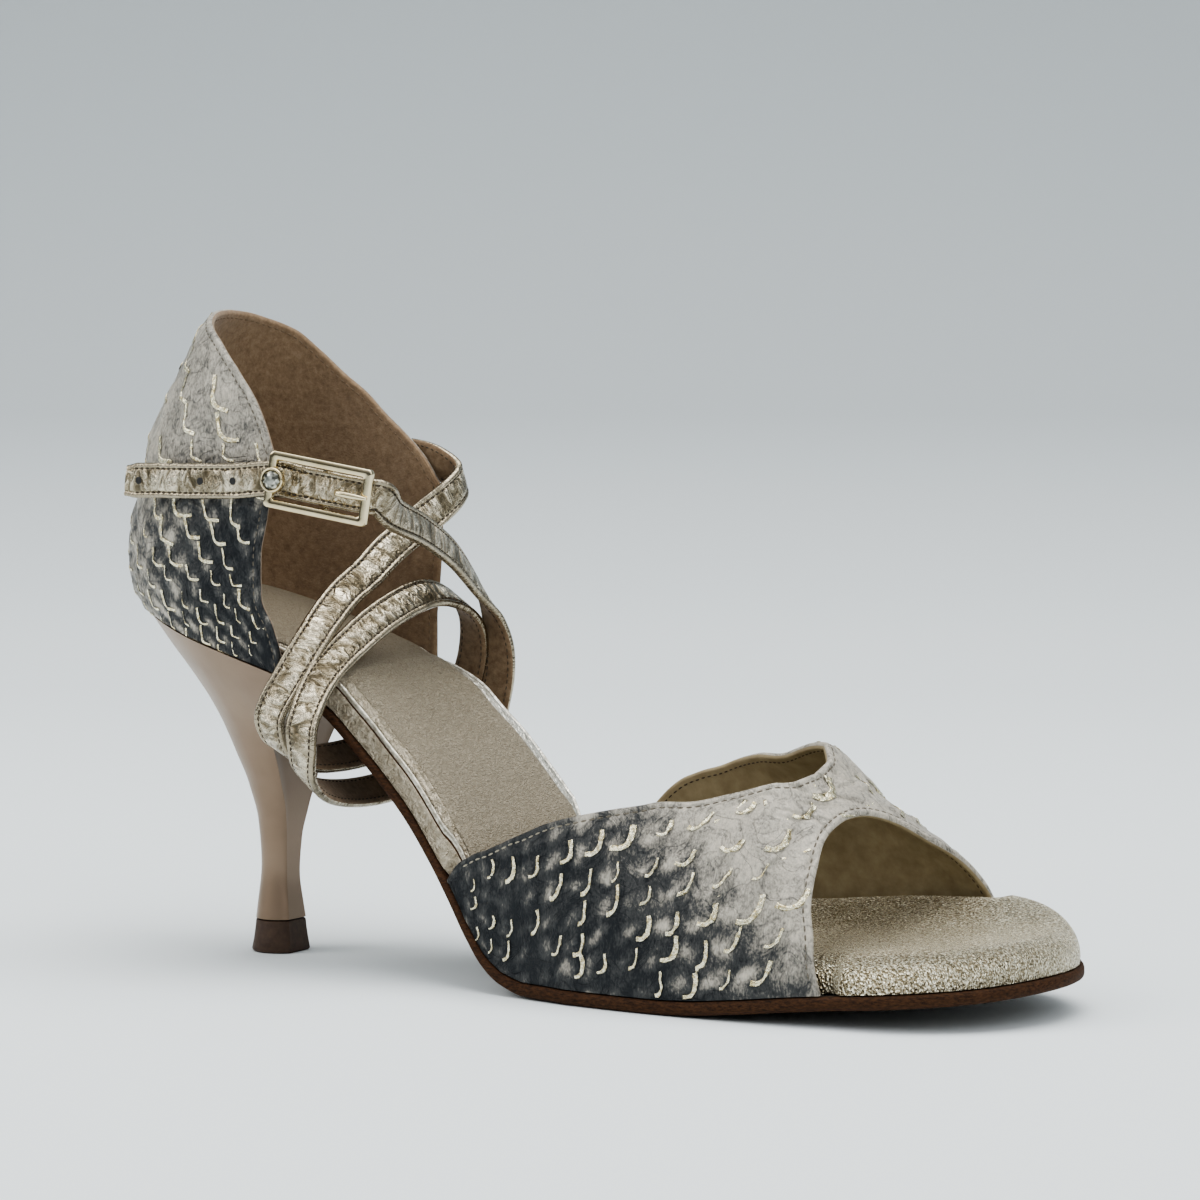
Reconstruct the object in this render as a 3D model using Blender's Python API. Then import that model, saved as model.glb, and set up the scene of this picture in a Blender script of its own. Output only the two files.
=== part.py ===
"""Right ballroom dance sandal: open toe, closed heel counter, wrap strap and stiletto heel.

Toe to +X, the wearer's medial side to +Y, up is +Z. The origin is on the floor under the
forefoot's flat spot. Every height and width is a named size in metres, and the tables below
hold shares of those sizes, one row for each section.
"""
import math

import bmesh
import bpy
import numpy as np
from mathutils import Matrix, Vector

MM = 0.001

# Last and sole
SOLE_LENGTH = 232 * MM
BALL_WIDTH = 73 * MM
TREAD_FROM_BACK = 152 * MM
SEAT_HEIGHT = 79 * MM
TOE_SPRING = 7.5 * MM
BANK_RISE = 3.5 * MM
BANK_START = 12 * MM
OUTSOLE_THICK = 3.0 * MM
WAIST_THICK = 2.0 * MM
OUTSOLE_LIP = 0.8 * MM
OUTSOLE_EDGE_RISE = 0.5 * MM
OUTSOLE_EDGE_ROUND = 1.0 * MM
TOE_RADIUS_SHARE = 0.151
SEAT_RADIUS_SHARE = 0.129

# Padded insole and the sock glued on it
FOOTBED_TOE_THICK = 8.0 * MM
FOOTBED_WAIST_THICK = 6.5 * MM
FOOTBED_ROLL = 4.0 * MM
FOOTBED_LIFT = 3.5 * MM
FOOTBED_SIDE_GAP = 0.6 * MM
FOOTBED_TUCK = 1.4 * MM
FOOTBED_TOE_INSET = 0.2 * MM
FOOTBED_TOE_STEP = 4.0 * MM
FOOTBED_WAIST_OUT = 1.9 * MM
FOOTBED_WAIST_STEP = 7.0 * MM
FOOTBED_CLEAR = 3.0 * MM
SOCK_THICK = 1.0 * MM
SOCK_INSET = 5.5 * MM
SOCK_END = 0.66

# Upper
WALL = 1.7 * MM
TOE_EDGE_CLEAR = 0.8 * MM
QUARTER_HEIGHT = 72 * MM
QUARTER_BULGE = 5.5 * MM
QUARTER_LEAN = 17.5 * MM
VAMP_HEIGHT = 48 * MM

# Heel
STEM_RADIUS = 4.5 * MM
STEM_FLAT = 3.6 * MM
STEM_CENTRE = -120.6 * MM
CAP_HEIGHT = 7.5 * MM
CAP_RADIUS = 6.8 * MM
CAP_FOOT = 0.8 * MM
BREAST_SHARE = 0.207

# Strap and buckle
STRAP_WIDTH = 8.0 * MM
STRAP_THICK = 2.0 * MM
BUCKLE_LENGTH = 26 * MM
BUCKLE_HEIGHT = 13 * MM
BUCKLE_BAR = 2.0 * MM
BUCKLE_THICK = 1.8 * MM
BUCKLE_CORNER = 1.6 * MM
BUCKLE_INNER_CORNER = 0.7 * MM
# Buckle's centre: shares of the sole's length, the ball's width and the seat's height
BUCKLE_SHARES = (0.269, -0.4055, 1.400)
BUCKLE_PITCH = math.radians(9.5)
BUCKLE_YAW = math.radians(7)
CENTRE_BAR = 1.4 * MM
CENTRE_BAR_BEHIND = 1.6 * MM
PRONG_RADIUS = 0.7 * MM
PRONG_PLAY = 0.4 * MM
PRONG_HOLE_SHARE = 0.17
BEZEL_RADIUS = 2.9 * MM
BEZEL_HEIGHT = 1.6 * MM
BEZEL_BEVEL = 0.3 * MM
BEZEL_INWARD = 1.2 * MM
STONE_RADIUS = 2.2 * MM
STONE_PROUD = 0.9 * MM
STONE_PLAY = 0.1 * MM
STRAP_STEP = 4.0 * MM
TAB_WIDTH = 7.0 * MM
TAB_THICK = 1.2 * MM
TAB_OVERLAP = 7.0 * MM
TAB_STEP = 2.5 * MM

GAP = 0.3 * MM

# Sole sections: share of the length from the heel's back, share of the seat height,
# share of the toe spring, half widths as shares of the ball width, share of the bank
SOLE_COLUMNS = ("along", "rise", "spring", "lateral", "medial", "bank")
SOLE_TABLE = (
    (0.000, 1.000, 0.00, 0.360, 0.352, 0.0),
    (0.052, 0.967, 0.00, 0.360, 0.352, 0.0),
    (0.095, 0.930, 0.00, 0.362, 0.354, 0.0),
    (0.155, 0.876, 0.00, 0.363, 0.356, 0.0),
    (0.200, 0.834, 0.00, 0.357, 0.352, 0.0),
    (0.233, 0.794, 0.00, 0.346, 0.340, 0.0),
    (0.259, 0.742, 0.00, 0.337, 0.338, 0.0),
    (0.289, 0.655, 0.00, 0.328, 0.362, 0.5),
    (0.317, 0.570, 0.00, 0.323, 0.378, 0.8),
    (0.349, 0.472, 0.00, 0.331, 0.382, 0.8),
    (0.384, 0.347, 0.00, 0.352, 0.384, 0.8),
    (0.410, 0.243, 0.00, 0.373, 0.387, 0.8),
    (0.432, 0.148, 0.00, 0.391, 0.393, 0.8),
    (0.455, 0.070, 0.00, 0.410, 0.402, 0.8),
    (0.478, 0.027, 0.00, 0.427, 0.415, 0.8),
    (0.509, 0.004, 0.00, 0.448, 0.434, 0.9),
    (0.543, 0.002, 0.00, 0.470, 0.455, 0.9),
    (0.560, 0.000, 0.00, 0.479, 0.465, 1.0),
    (0.655, 0.000, 0.00, 0.500, 0.500, 1.0),
    (0.690, 0.000, 0.04, 0.500, 0.508, 1.0),
    (0.741, 0.000, 0.19, 0.495, 0.513, 1.0),
    (0.806, 0.000, 0.42, 0.480, 0.507, 1.0),
    (0.849, 0.000, 0.53, 0.460, 0.500, 1.0),
    (0.897, 0.000, 0.65, 0.458, 0.500, 0.9),
    (0.966, 0.000, 0.82, 0.458, 0.500, 0.7),
    (1.000, 0.000, 0.95, 0.458, 0.500, 0.6),
)

# Vamp height over the sole's edge as a share of the vamp height
RIDGE_COLUMNS = ("along", "height")
RIDGE_TABLE = (
    (0.400, 2.05),
    (0.496, 1.85),
    (0.553, 1.58),
    (0.591, 1.40),
    (0.631, 1.23),
    (0.679, 1.115),
    (0.703, 1.105),
    (0.741, 1.075),
    (0.757, 0.990),
    (0.770, 0.897),
    (0.784, 0.838),
    (0.801, 0.768),
    (0.829, 0.660),
    (0.850, 0.567),
    (0.871, 0.455),
    (0.900, 0.360),
)

# Throat and toe edges of the vamp: angle over the foot from the lateral edge of the sole
THROAT_COLUMNS = ("degrees", "along")
THROAT_TABLE = (
    (0.0, 0.409),
    (11.5, 0.445),
    (20.0, 0.506),
    (29.4, 0.567),
    (35.7, 0.598),
    (44.4, 0.637),
    (50.5, 0.671),
    (56.8, 0.724),
    (61.5, 0.746),
    (68.0, 0.755),
    (79.0, 0.760),
    (90.0, 0.757),
    (97.0, 0.745),
    (106.0, 0.711),
    (125.5, 0.641),
    (143.5, 0.581),
    (153.0, 0.531),
    (160.5, 0.498),
    (180.0, 0.425),
)
TOE_EDGE_TABLE = (
    (0.0, 0.825),
    (11.7, 0.817),
    (21.0, 0.813),
    (31.5, 0.805),
    (45.8, 0.800),
    (58.5, 0.796),
    (68.5, 0.798),
    (82.0, 0.805),
    (92.0, 0.815),
    (110.0, 0.838),
    (121.0, 0.844),
    (129.0, 0.849),
    (140.4, 0.856),
    (149.0, 0.862),
    (180.0, 0.869),
)

# Quarter sections by height over the seat: how far the back stands behind the sole (share of
# the bulge), how far it leans forward (share of the lean), half width and depth of its round
# back as shares of the seat's
QUARTER_COLUMNS = ("up", "behind", "forward", "width", "depth")
QUARTER_TABLE = (
    (0.00, 0.00, 0.000, 0.985, 1.00),
    (0.06, 0.62, 0.000, 1.005, 1.04),
    (0.16, 1.07, 0.000, 1.025, 1.08),
    (0.26, 1.02, 0.000, 1.030, 1.08),
    (0.38, 0.65, 0.000, 1.020, 1.06),
    (0.52, 0.24, 0.010, 0.985, 1.01),
    (0.64, 0.22, 0.200, 0.950, 0.96),
    (0.74, 0.15, 0.400, 0.915, 0.91),
    (0.84, 0.08, 0.600, 0.870, 0.86),
    (0.92, 0.00, 0.770, 0.825, 0.82),
    (1.00, 0.00, 1.020, 0.780, 0.79),
)
# Its top edge: share of the way round from the back to the front edge, and the height there
TOPLINE_COLUMNS = ("round", "lateral", "medial")
TOPLINE_TABLE = (
    (0.00, 1.000, 1.000),
    (0.12, 0.997, 0.993),
    (0.25, 0.987, 0.972),
    (0.39, 0.965, 0.934),
    (0.51, 0.935, 0.864),
    (0.61, 0.903, 0.794),
    (0.73, 0.840, 0.719),
    (0.81, 0.785, 0.649),
    (0.89, 0.718, 0.584),
    (0.95, 0.640, 0.515),
    (1.00, 0.543, 0.420),
)
# Its front edge: height over the seat, and the place along the shoe on each side
FRONT_COLUMNS = ("up", "lateral", "medial")
FRONT_TABLE = (
    (-0.20, 0.214, 0.260),
    (-0.10, 0.210, 0.260),
    (0.00, 0.200, 0.260),
    (0.08, 0.190, 0.261),
    (0.22, 0.191, 0.263),
    (0.34, 0.198, 0.264),
    (0.50, 0.203, 0.262),
    (0.70, 0.203, 0.258),
    (1.00, 0.203, 0.255),
)

# Heel: height as a share of its own, flare of back and sides, flare of the front, stem radius
HEEL_COLUMNS = ("up", "flare", "front", "radius")
HEEL_TABLE = (
    (0.00, 0.00, 0.00, 1.30),
    (0.04, 0.00, 0.00, 1.22),
    (0.18, 0.00, 0.00, 1.00),
    (0.32, 0.01, 0.00, 1.10),
    (0.44, 0.06, 0.00, 1.32),
    (0.55, 0.17, 0.00, 1.45),
    (0.64, 0.28, 0.02, 1.50),
    (0.72, 0.41, 0.06, 1.50),
    (0.81, 0.59, 0.18, 1.50),
    (0.90, 0.79, 0.48, 1.50),
    (1.00, 1.00, 1.00, 1.50),
)

# Strap centre line: share along the shoe, across as a share of the ball width, up as a share
# of the seat height, and where its outer face looks
STRAP_COLUMNS = ("along", "across", "up", "face_x", "face_y", "face_z")
STRAP_ROOT = (
    (0.220, 0.0, 1.470, 0.00, 1.00, 0.05),
    (0.238, 0.0, 1.462, 0.00, 1.00, 0.05),
    (0.255, 0.0, 1.445, 0.20, 0.97, 0.05),
)
STRAP_WRAP = (
    (0.278, 0.375, 1.408, 0.80, 0.60, 0.20),
    (0.283, 0.305, 1.362, 0.93, 0.20, 0.35),
    (0.267, 0.215, 1.290, 0.78, 0.10, 0.62),
    (0.246, 0.110, 1.203, 0.70, -0.05, 0.71),
    (0.242, 0.000, 1.138, 0.64, -0.25, 0.72),
    (0.240, -0.123, 1.082, 0.55, -0.50, 0.66),
    (0.239, -0.225, 1.018, 0.45, -0.70, 0.55),
    (0.239, -0.315, 0.952, 0.32, -0.85, 0.40),
    (0.232, -0.405, 0.850, 0.15, -0.97, 0.15),
    (0.222, -0.452, 0.758, 0.00, -1.00, 0.00),
    (0.222, -0.448, 0.700, -0.20, -0.95, -0.20),
    (0.226, -0.410, 0.650, -0.45, -0.75, -0.45),
    (0.232, -0.320, 0.615, -0.60, -0.45, -0.62),
    (0.238, -0.180, 0.608, -0.68, -0.15, -0.70),
    (0.241, 0.000, 0.616, -0.70, 0.00, -0.70),
    (0.250, 0.200, 0.640, -0.66, 0.30, -0.66),
    (0.264, 0.392, 0.697, -0.45, 0.75, -0.45),
    (0.275, 0.435, 0.810, -0.10, 0.98, -0.10),
    (0.281, 0.440, 0.900, 0.10, 0.98, 0.10),
    (0.283, 0.410, 0.985, 0.35, 0.85, 0.35),
    (0.282, 0.320, 1.045, 0.55, 0.60, 0.60),
    (0.280, 0.164, 1.072, 0.66, 0.20, 0.70),
    (0.275, -0.027, 1.030, 0.64, -0.25, 0.70),
    (0.268, -0.192, 0.958, 0.50, -0.60, 0.58),
    (0.264, -0.365, 0.862, 0.28, -0.90, 0.30),
    (0.268, -0.490, 0.745, 0.05, -1.00, 0.05),
    (0.268, -0.500, 0.665, -0.15, -0.97, -0.15),
    (0.262, -0.455, 0.585, -0.45, -0.70, -0.50),
    (0.256, -0.330, 0.528, -0.60, -0.35, -0.68),
    (0.255, -0.130, 0.503, -0.68, -0.10, -0.72),
    (0.263, 0.070, 0.515, -0.68, 0.10, -0.70),
    (0.277, 0.250, 0.560, -0.60, 0.45, -0.62),
    (0.294, 0.420, 0.645, -0.40, 0.80, -0.40),
    (0.306, 0.450, 0.770, -0.10, 0.98, -0.10),
    (0.310, 0.452, 0.880, 0.10, 0.98, 0.08),
    (0.306, 0.440, 0.965, 0.30, 0.90, 0.25),
    (0.303, 0.410, 1.030, 0.60, 0.62, 0.42),
    (0.303, 0.330, 1.095, 0.82, 0.28, 0.45),
    (0.309, 0.164, 1.192, 0.90, -0.05, 0.42),
    (0.316, -0.041, 1.270, 0.88, -0.28, 0.36),
    (0.321, -0.225, 1.322, 0.82, -0.52, 0.25),
)
# Strap at the buckle: distance from the buckle's centre and behind its plane, as shares of
# the buckle's length, and how far its face still turns to the toe
STRAP_IN_BUCKLE = (
    (0.52, 0.140, 0.45),
    (0.42, 0.085, 0.12),
    (0.25, 0.050, 0.00),
    (0.00, 0.040, 0.00),
    (-0.25, 0.050, 0.00),
    (-0.46, 0.075, 0.00),
)
STRAP_TAIL = (
    (0.165, 0.0, 1.414),
    (0.130, 0.0, 1.412),
    (0.090, 0.0, 1.411),
    (0.060, 0.0, 1.410),
    (0.035, 0.0, 1.408),
)


def smooth(table, column, where, columns, key):
    """Value of one column at a place, on a curve that never overshoots its rows."""
    xs = np.array([row[columns.index(key)] for row in table], float)
    ys = np.array([row[columns.index(column)] for row in table], float)
    steps = np.diff(xs)
    slopes = np.diff(ys) / steps
    tangents = np.zeros(len(xs))
    tangents[0] = slopes[0]
    tangents[-1] = slopes[-1]
    for i in range(1, len(xs) - 1):
        before = slopes[i - 1]
        after = slopes[i]
        if before * after > 0:
            a = 2 * steps[i] + steps[i - 1]
            b = steps[i] + 2 * steps[i - 1]
            tangents[i] = (a + b) / (a / before + b / after)
    place = np.clip(np.asarray(where, float), xs[0], xs[-1])
    index = np.clip(np.searchsorted(xs, place, side="right") - 1, 0, len(xs) - 2)
    t = (place - xs[index]) / steps[index]
    start = ys[index] * (1 + 2 * t) * (1 - t) ** 2 + tangents[index] * steps[index] * t * (1 - t) ** 2
    end = ys[index + 1] * t * t * (3 - 2 * t) - tangents[index + 1] * steps[index] * t * t * (1 - t)
    return start + end


def ramp(value, start, end):
    """0 below start, 1 above end, and a soft step between."""
    t = np.clip((np.asarray(value, float) - start) / (end - start), 0, 1)
    return t * t * (3 - 2 * t)


def at_share(along):
    """Place along X of a share of the sole's length."""
    return np.asarray(along, float) * SOLE_LENGTH - TREAD_FROM_BACK


def share_at(x):
    """Share of the sole's length of a place along X."""
    return (np.asarray(x, float) + TREAD_FROM_BACK) / SOLE_LENGTH


def sole_value(column, x):
    """One column of the sole's table at a place along X."""
    return smooth(SOLE_TABLE, column, share_at(x), SOLE_COLUMNS, "along")


def end_round(x):
    """Share of the full width left near the round toe and the round seat."""
    share = share_at(x)
    toe = np.clip((share - (1 - TOE_RADIUS_SHARE)) / TOE_RADIUS_SHARE, 0, 1)
    seat = np.clip((SEAT_RADIUS_SHARE - share) / SEAT_RADIUS_SHARE, 0, 1)
    return np.sqrt(np.clip(1 - toe ** 2, 0, 1)) * np.sqrt(np.clip(1 - seat ** 2, 0, 1))


def middle(x):
    """Centre line of the sole in plan."""
    return 0.5 * BALL_WIDTH * (sole_value("medial", x) - sole_value("lateral", x))


def half_width(x):
    """Half of the upper's width on the sole."""
    full = 0.5 * BALL_WIDTH * (sole_value("medial", x) + sole_value("lateral", x))
    return full * end_round(x)


def under(x):
    """Height of the outsole's underside on the centre line."""
    return SEAT_HEIGHT * sole_value("rise", x) + TOE_SPRING * sole_value("spring", x)


def slope_stretch(x):
    """How much longer a thickness is when it is measured straight up on the slope."""
    step = 0.5 * MM
    slope = (under(np.asarray(x) + step) - under(np.asarray(x) - step)) / (2 * step)
    return np.sqrt(1 + slope ** 2)


def outsole_thickness(x):
    """Thinner in the waist than under the ball."""
    forefoot = ramp(share_at(x), 0.40, 0.52)
    return WAIST_THICK + (OUTSOLE_THICK - WAIST_THICK) * forefoot


def bank(x, y):
    """The forefoot's medial edge lies a little higher than its flat spot."""
    reach = 0.5 * BALL_WIDTH
    return BANK_RISE * sole_value("bank", x) * ramp(y, BANK_START, reach)


def deck(x, y):
    """Height of the outsole's top, where the upper and the padded insole stand."""
    return under(x) + outsole_thickness(x) * slope_stretch(x) + bank(x, y)


def edge_half(x, inset_seat, inset, inset_toe):
    """Half width of a sole layer that stands inside the plan outline by its insets."""
    toe_radius = TOE_RADIUS_SHARE * SOLE_LENGTH
    seat_radius = SEAT_RADIUS_SHARE * SOLE_LENGTH
    toe_centre = at_share(1) - toe_radius
    seat_centre = at_share(0) + seat_radius
    x = np.asarray(x, float)
    toe = np.clip((x - toe_centre) / (toe_radius - inset_toe), 0, 1)
    seat = np.clip((seat_centre - x) / (seat_radius - inset_seat), 0, 1)
    full = 0.5 * BALL_WIDTH * (sole_value("medial", x) + sole_value("lateral", x)) - inset
    return full * np.sqrt(1 - toe ** 2) * np.sqrt(1 - seat ** 2)


def stations(start, end, inset_seat, inset_toe):
    """Places along X: the sole table's rows, halfway between wide ones, and turns at the ends."""
    toe_radius = TOE_RADIUS_SHARE * SOLE_LENGTH
    seat_radius = SEAT_RADIUS_SHARE * SOLE_LENGTH
    toe_centre = float(at_share(1) - toe_radius)
    seat_centre = float(at_share(0) + seat_radius)
    rows = [row[0] for row in SOLE_TABLE]
    shares = sorted(rows + [0.5 * (a + b) for a, b in zip(rows, rows[1:]) if b - a > 0.035])
    places = [float(at_share(s)) for s in shares]
    places = [x for x in places if seat_centre < x < toe_centre]
    turns = np.radians((0, 20, 38, 53, 66, 77, 87))
    places += [toe_centre + (toe_radius - inset_toe) * math.sin(t) for t in turns]
    places += [seat_centre - (seat_radius - inset_seat) * math.sin(t) for t in turns]
    low = float(at_share(start))
    high = float(at_share(end))
    places = [x for x in places if low + 1.2 * MM < x < high - 1.2 * MM or start == 0 and x <= low + 4 * MM
              or end == 1 and x >= high - 4 * MM]
    if start > 0:
        places.append(low)
    if end < 1:
        places.append(high)
    return np.array(sorted(places))


def open_waist(x, side):
    """1 in the bare waist between the quarter and the vamp, 0 inside their walls."""
    front = FRONT_TABLE[0][1] if side < 0 else FRONT_TABLE[0][2]
    throat = THROAT_TABLE[0][1] if side < 0 else THROAT_TABLE[-1][1]
    start = float(at_share(front)) + FOOTBED_CLEAR
    end = float(at_share(throat)) - FOOTBED_CLEAR
    return ramp(x, start, start + FOOTBED_WAIST_STEP) * (1 - ramp(x, end - FOOTBED_WAIST_STEP, end))


def side_inset(x, side, hidden, shown):
    """Inset inside the walls of the upper, and the smaller ones in the waist and the open toe."""
    table = TOE_EDGE_TABLE[0][1] if side < 0 else TOE_EDGE_TABLE[-1][1]
    edge = float(at_share(table)) + TOE_EDGE_CLEAR
    tucked = hidden + FOOTBED_TUCK * ramp(x, 0.3 * edge, 0.9 * edge)
    tucked = tucked - FOOTBED_WAIST_OUT * open_waist(x, side)
    return tucked + (shown - tucked) * ramp(x, edge, edge + FOOTBED_TOE_STEP)


def edge_distance(x, y, ring):
    """Distance in plan from each point to a closed outline."""
    points = np.stack([np.ravel(x), np.ravel(y)], axis=1)
    starts = ring
    ends = np.roll(ring, -1, axis=0)
    span = ends - starts
    length = np.maximum((span ** 2).sum(axis=1), 1e-16)
    best = np.full(len(points), np.inf)
    for start, step, size in zip(starts, span, length):
        t = np.clip(((points - start) @ step) / size, 0, 1)
        gap = points - (start + t[:, None] * step)
        best = np.minimum(best, np.sqrt((gap ** 2).sum(axis=1)))
    return best.reshape(np.shape(x))


def new_object(name, verts, faces, material, smooth_angle=40):
    """Mesh object from points and faces, with its own material."""
    mesh = bpy.data.meshes.new(name)
    mesh.from_pydata([tuple(map(float, v)) for v in verts], [], faces)
    obj = bpy.data.objects.new(name, mesh)
    bpy.context.scene.collection.objects.link(obj)
    tidy = bmesh.new()
    tidy.from_mesh(mesh)
    bmesh.ops.remove_doubles(tidy, verts=tidy.verts, dist=1e-7)
    bmesh.ops.recalc_face_normals(tidy, faces=tidy.faces)
    tidy.to_mesh(mesh)
    tidy.free()
    mesh.materials.append(material)
    mesh.shade_smooth()
    mesh.set_sharp_from_angle(angle=math.radians(smooth_angle))
    return obj


def finish(name, colour, roughness, metallic=0.0):
    """Plain material of one piece."""
    material = bpy.data.materials.new(name)
    material.use_nodes = True
    shader = material.node_tree.nodes["Principled BSDF"]
    shader.inputs["Base Color"].default_value = (*colour, 1.0)
    shader.inputs["Roughness"].default_value = roughness
    shader.inputs["Metallic"].default_value = metallic
    return material


def closed_sheet(name, top, bottom, material, smooth_angle=40):
    """Solid between two grids of points that share their rim's layout."""
    rows, columns = top.shape[:2]
    count = rows * columns
    verts = np.concatenate([top.reshape(-1, 3), bottom.reshape(-1, 3)])
    faces = []
    for r in range(rows - 1):
        for c in range(columns - 1):
            a = r * columns + c
            b = a + 1
            d = a + columns
            e = d + 1
            faces.append((a, b, e, d))
            faces.append((count + a, count + d, count + e, count + b))
    rim = [c for c in range(columns)]
    rim += [r * columns + columns - 1 for r in range(1, rows)]
    rim += [(rows - 1) * columns + c for c in range(columns - 2, -1, -1)]
    rim += [r * columns for r in range(rows - 2, 0, -1)]
    for i, a in enumerate(rim):
        b = rim[(i + 1) % len(rim)]
        faces.append((b, a, count + a, count + b))
    return new_object(name, verts, faces, material, smooth_angle)


def loft(name, rings, material, smooth_angle=40):
    """Solid through rings of the same number of points, with flat ends."""
    count = len(rings[0])
    verts = [p for ring in rings for p in ring]
    faces = []
    for k in range(len(rings) - 1):
        for i in range(count):
            j = (i + 1) % count
            faces.append((k * count + i, k * count + j, (k + 1) * count + j, (k + 1) * count + i))
    faces.append(tuple(range(count - 1, -1, -1)))
    last = (len(rings) - 1) * count
    faces.append(tuple(last + i for i in range(count)))
    return new_object(name, verts, faces, material, smooth_angle)


def plan_grid(x, insets, ends, across):
    """Points in plan over the sole and the ring round them, for one inset on each side."""
    lateral = middle(x) - edge_half(x, ends[0], insets[0], ends[1])
    medial = middle(x) + edge_half(x, ends[0], insets[1], ends[1])
    share = np.array(across)
    grid_x = np.repeat(x[:, None], len(share), axis=1)
    grid_y = lateral[:, None] + (medial - lateral)[:, None] * share[None, :]
    ring = np.concatenate([np.stack([x, lateral], axis=1), np.stack([x, medial], axis=1)[::-1]])
    return grid_x, grid_y, ring


ACROSS = (0.0, 0.025, 0.08, 0.16, 0.30, 0.50, 0.60, 0.68, 0.76, 0.84, 0.92, 0.975, 1.0)
SOLE_ACROSS = (0.0, 0.02, 0.15, 0.35, 0.50, 0.60, 0.68, 0.76, 0.84, 0.92, 0.98, 1.0)


def make_outsole(material):
    """Leather outsole from the heel's front to the toe, its edge a little proud."""
    start = BREAST_SHARE + GAP / SOLE_LENGTH
    place = stations(start, 1.0, -OUTSOLE_LIP, -OUTSOLE_LIP)
    x, y, ring = plan_grid(place, (-OUTSOLE_LIP, -OUTSOLE_LIP), (-OUTSOLE_LIP, -OUTSOLE_LIP), SOLE_ACROSS)
    top = np.stack([x, y, deck(x, y)], axis=2)
    edge = edge_distance(x, y, ring)
    round_up = OUTSOLE_EDGE_RISE * (1 - ramp(edge, 0, OUTSOLE_EDGE_ROUND))
    bottom = np.stack([x, y, under(x) + bank(x, y) + round_up], axis=2)
    return closed_sheet("outsole", top, bottom, material)


def footbed_thickness(x):
    """Padding under the foot, thicker under the ball."""
    ball = ramp(share_at(x), 0.38, 0.60)
    return FOOTBED_WAIST_THICK + (FOOTBED_TOE_THICK - FOOTBED_WAIST_THICK) * ball


def footbed_top(x, y, edge):
    """Height of the padded insole's top, rolled down at its edge."""
    thick = footbed_thickness(x)
    inside = np.clip(FOOTBED_ROLL - edge, 0, FOOTBED_ROLL)
    roll = FOOTBED_ROLL - np.sqrt(np.maximum(FOOTBED_ROLL ** 2 - inside ** 2, 0))
    lift = FOOTBED_LIFT * sole_value("bank", x) * ramp(y, 0.0, 0.45 * BALL_WIDTH)
    height = (thick - roll) * slope_stretch(x) + lift * ramp(edge, 0, FOOTBED_ROLL)
    return deck(x, y) + GAP * slope_stretch(x) + height


def footbed_plan(hidden, shown, end, across):
    """Plan of a layer inside the upper's walls, wider where the toe is open."""
    place = stations(0.0, end, hidden, shown)
    insets = (side_inset(place, -1, hidden, shown), side_inset(place, 1, hidden, shown))
    return plan_grid(place, insets, (hidden, shown), across)


def make_footbed(material):
    """Padded insole inside the upper's walls, out to the sole's edge in the open toe."""
    x, y, ring = footbed_plan(WALL + FOOTBED_SIDE_GAP, FOOTBED_TOE_INSET, 1.0, ACROSS)
    edge = edge_distance(x, y, ring)
    top = np.stack([x, y, footbed_top(x, y, edge)], axis=2)
    bottom = np.stack([x, y, deck(x, y) + GAP * slope_stretch(x)], axis=2)
    return closed_sheet("footbed", top, bottom, material)


def make_sock(material):
    """Thin leather sock on the padded insole, from the heel to under the vamp."""
    inset = WALL + FOOTBED_SIDE_GAP
    ring = footbed_plan(inset, FOOTBED_TOE_INSET, 1.0, ACROSS)[2]
    x, y, _ = footbed_plan(inset + SOCK_INSET, inset, SOCK_END, (0.0, 0.25, 0.5, 0.62, 0.74, 0.86, 1.0))
    edge = edge_distance(x, y, ring)
    low = footbed_top(x, y, edge) + GAP * slope_stretch(x)
    top = np.stack([x, y, low + SOCK_THICK * slope_stretch(x)], axis=2)
    bottom = np.stack([x, y, low], axis=2)
    return closed_sheet("sock", top, bottom, material)


def thicken(outer, thickness, hold_first, hold_last):
    """Inner face of a wall, one thickness along the normals inside its outer face."""
    du = np.gradient(outer, axis=0)
    dv = np.gradient(outer, axis=1)
    normal = np.cross(du, dv)
    normal /= np.maximum(np.linalg.norm(normal, axis=2, keepdims=True), 1e-12)
    if hold_first:
        normal[:, 0, 2] = 0
    if hold_last:
        normal[:, -1, 2] = 0
    normal /= np.maximum(np.linalg.norm(normal, axis=2, keepdims=True), 1e-12)
    return outer - normal * thickness


def vamp_point(angle, x):
    """Point of the vamp's outer face at an angle over the foot and a place along the shoe."""
    height = VAMP_HEIGHT * smooth(RIDGE_TABLE, "height", share_at(x), RIDGE_COLUMNS, "along")
    y = middle(x) - half_width(x) * np.cos(angle)
    z = deck(x, y) + GAP + height * np.sin(angle)
    return np.stack([x, y, z], axis=-1)


def make_vamp(material):
    """Open-toed vamp: a curved wall with a throat, standing on the outsole's edge."""
    low = np.linspace(0, 24, 5)
    degrees = np.concatenate([low[:-1], np.linspace(24, 156, 27), 180 - low[-2::-1]])
    rows = np.linspace(0, 1, 13)
    rear = at_share(smooth(THROAT_TABLE, "along", degrees, THROAT_COLUMNS, "degrees"))
    front = at_share(smooth(TOE_EDGE_TABLE, "along", degrees, THROAT_COLUMNS, "degrees"))
    x = rear[:, None] + (front - rear)[:, None] * rows[None, :]
    angle = np.repeat(np.radians(degrees)[:, None], len(rows), axis=1)
    outer = vamp_point(angle, x)
    swapped = np.swapaxes(outer, 0, 1)
    inner = np.swapaxes(thicken(swapped, WALL, True, True), 0, 1)
    return closed_sheet("vamp", outer, inner, material)


def quarter_value(column, up):
    """One column of the quarter's table at a height."""
    return smooth(QUARTER_TABLE, column, up, QUARTER_COLUMNS, "up")


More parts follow.
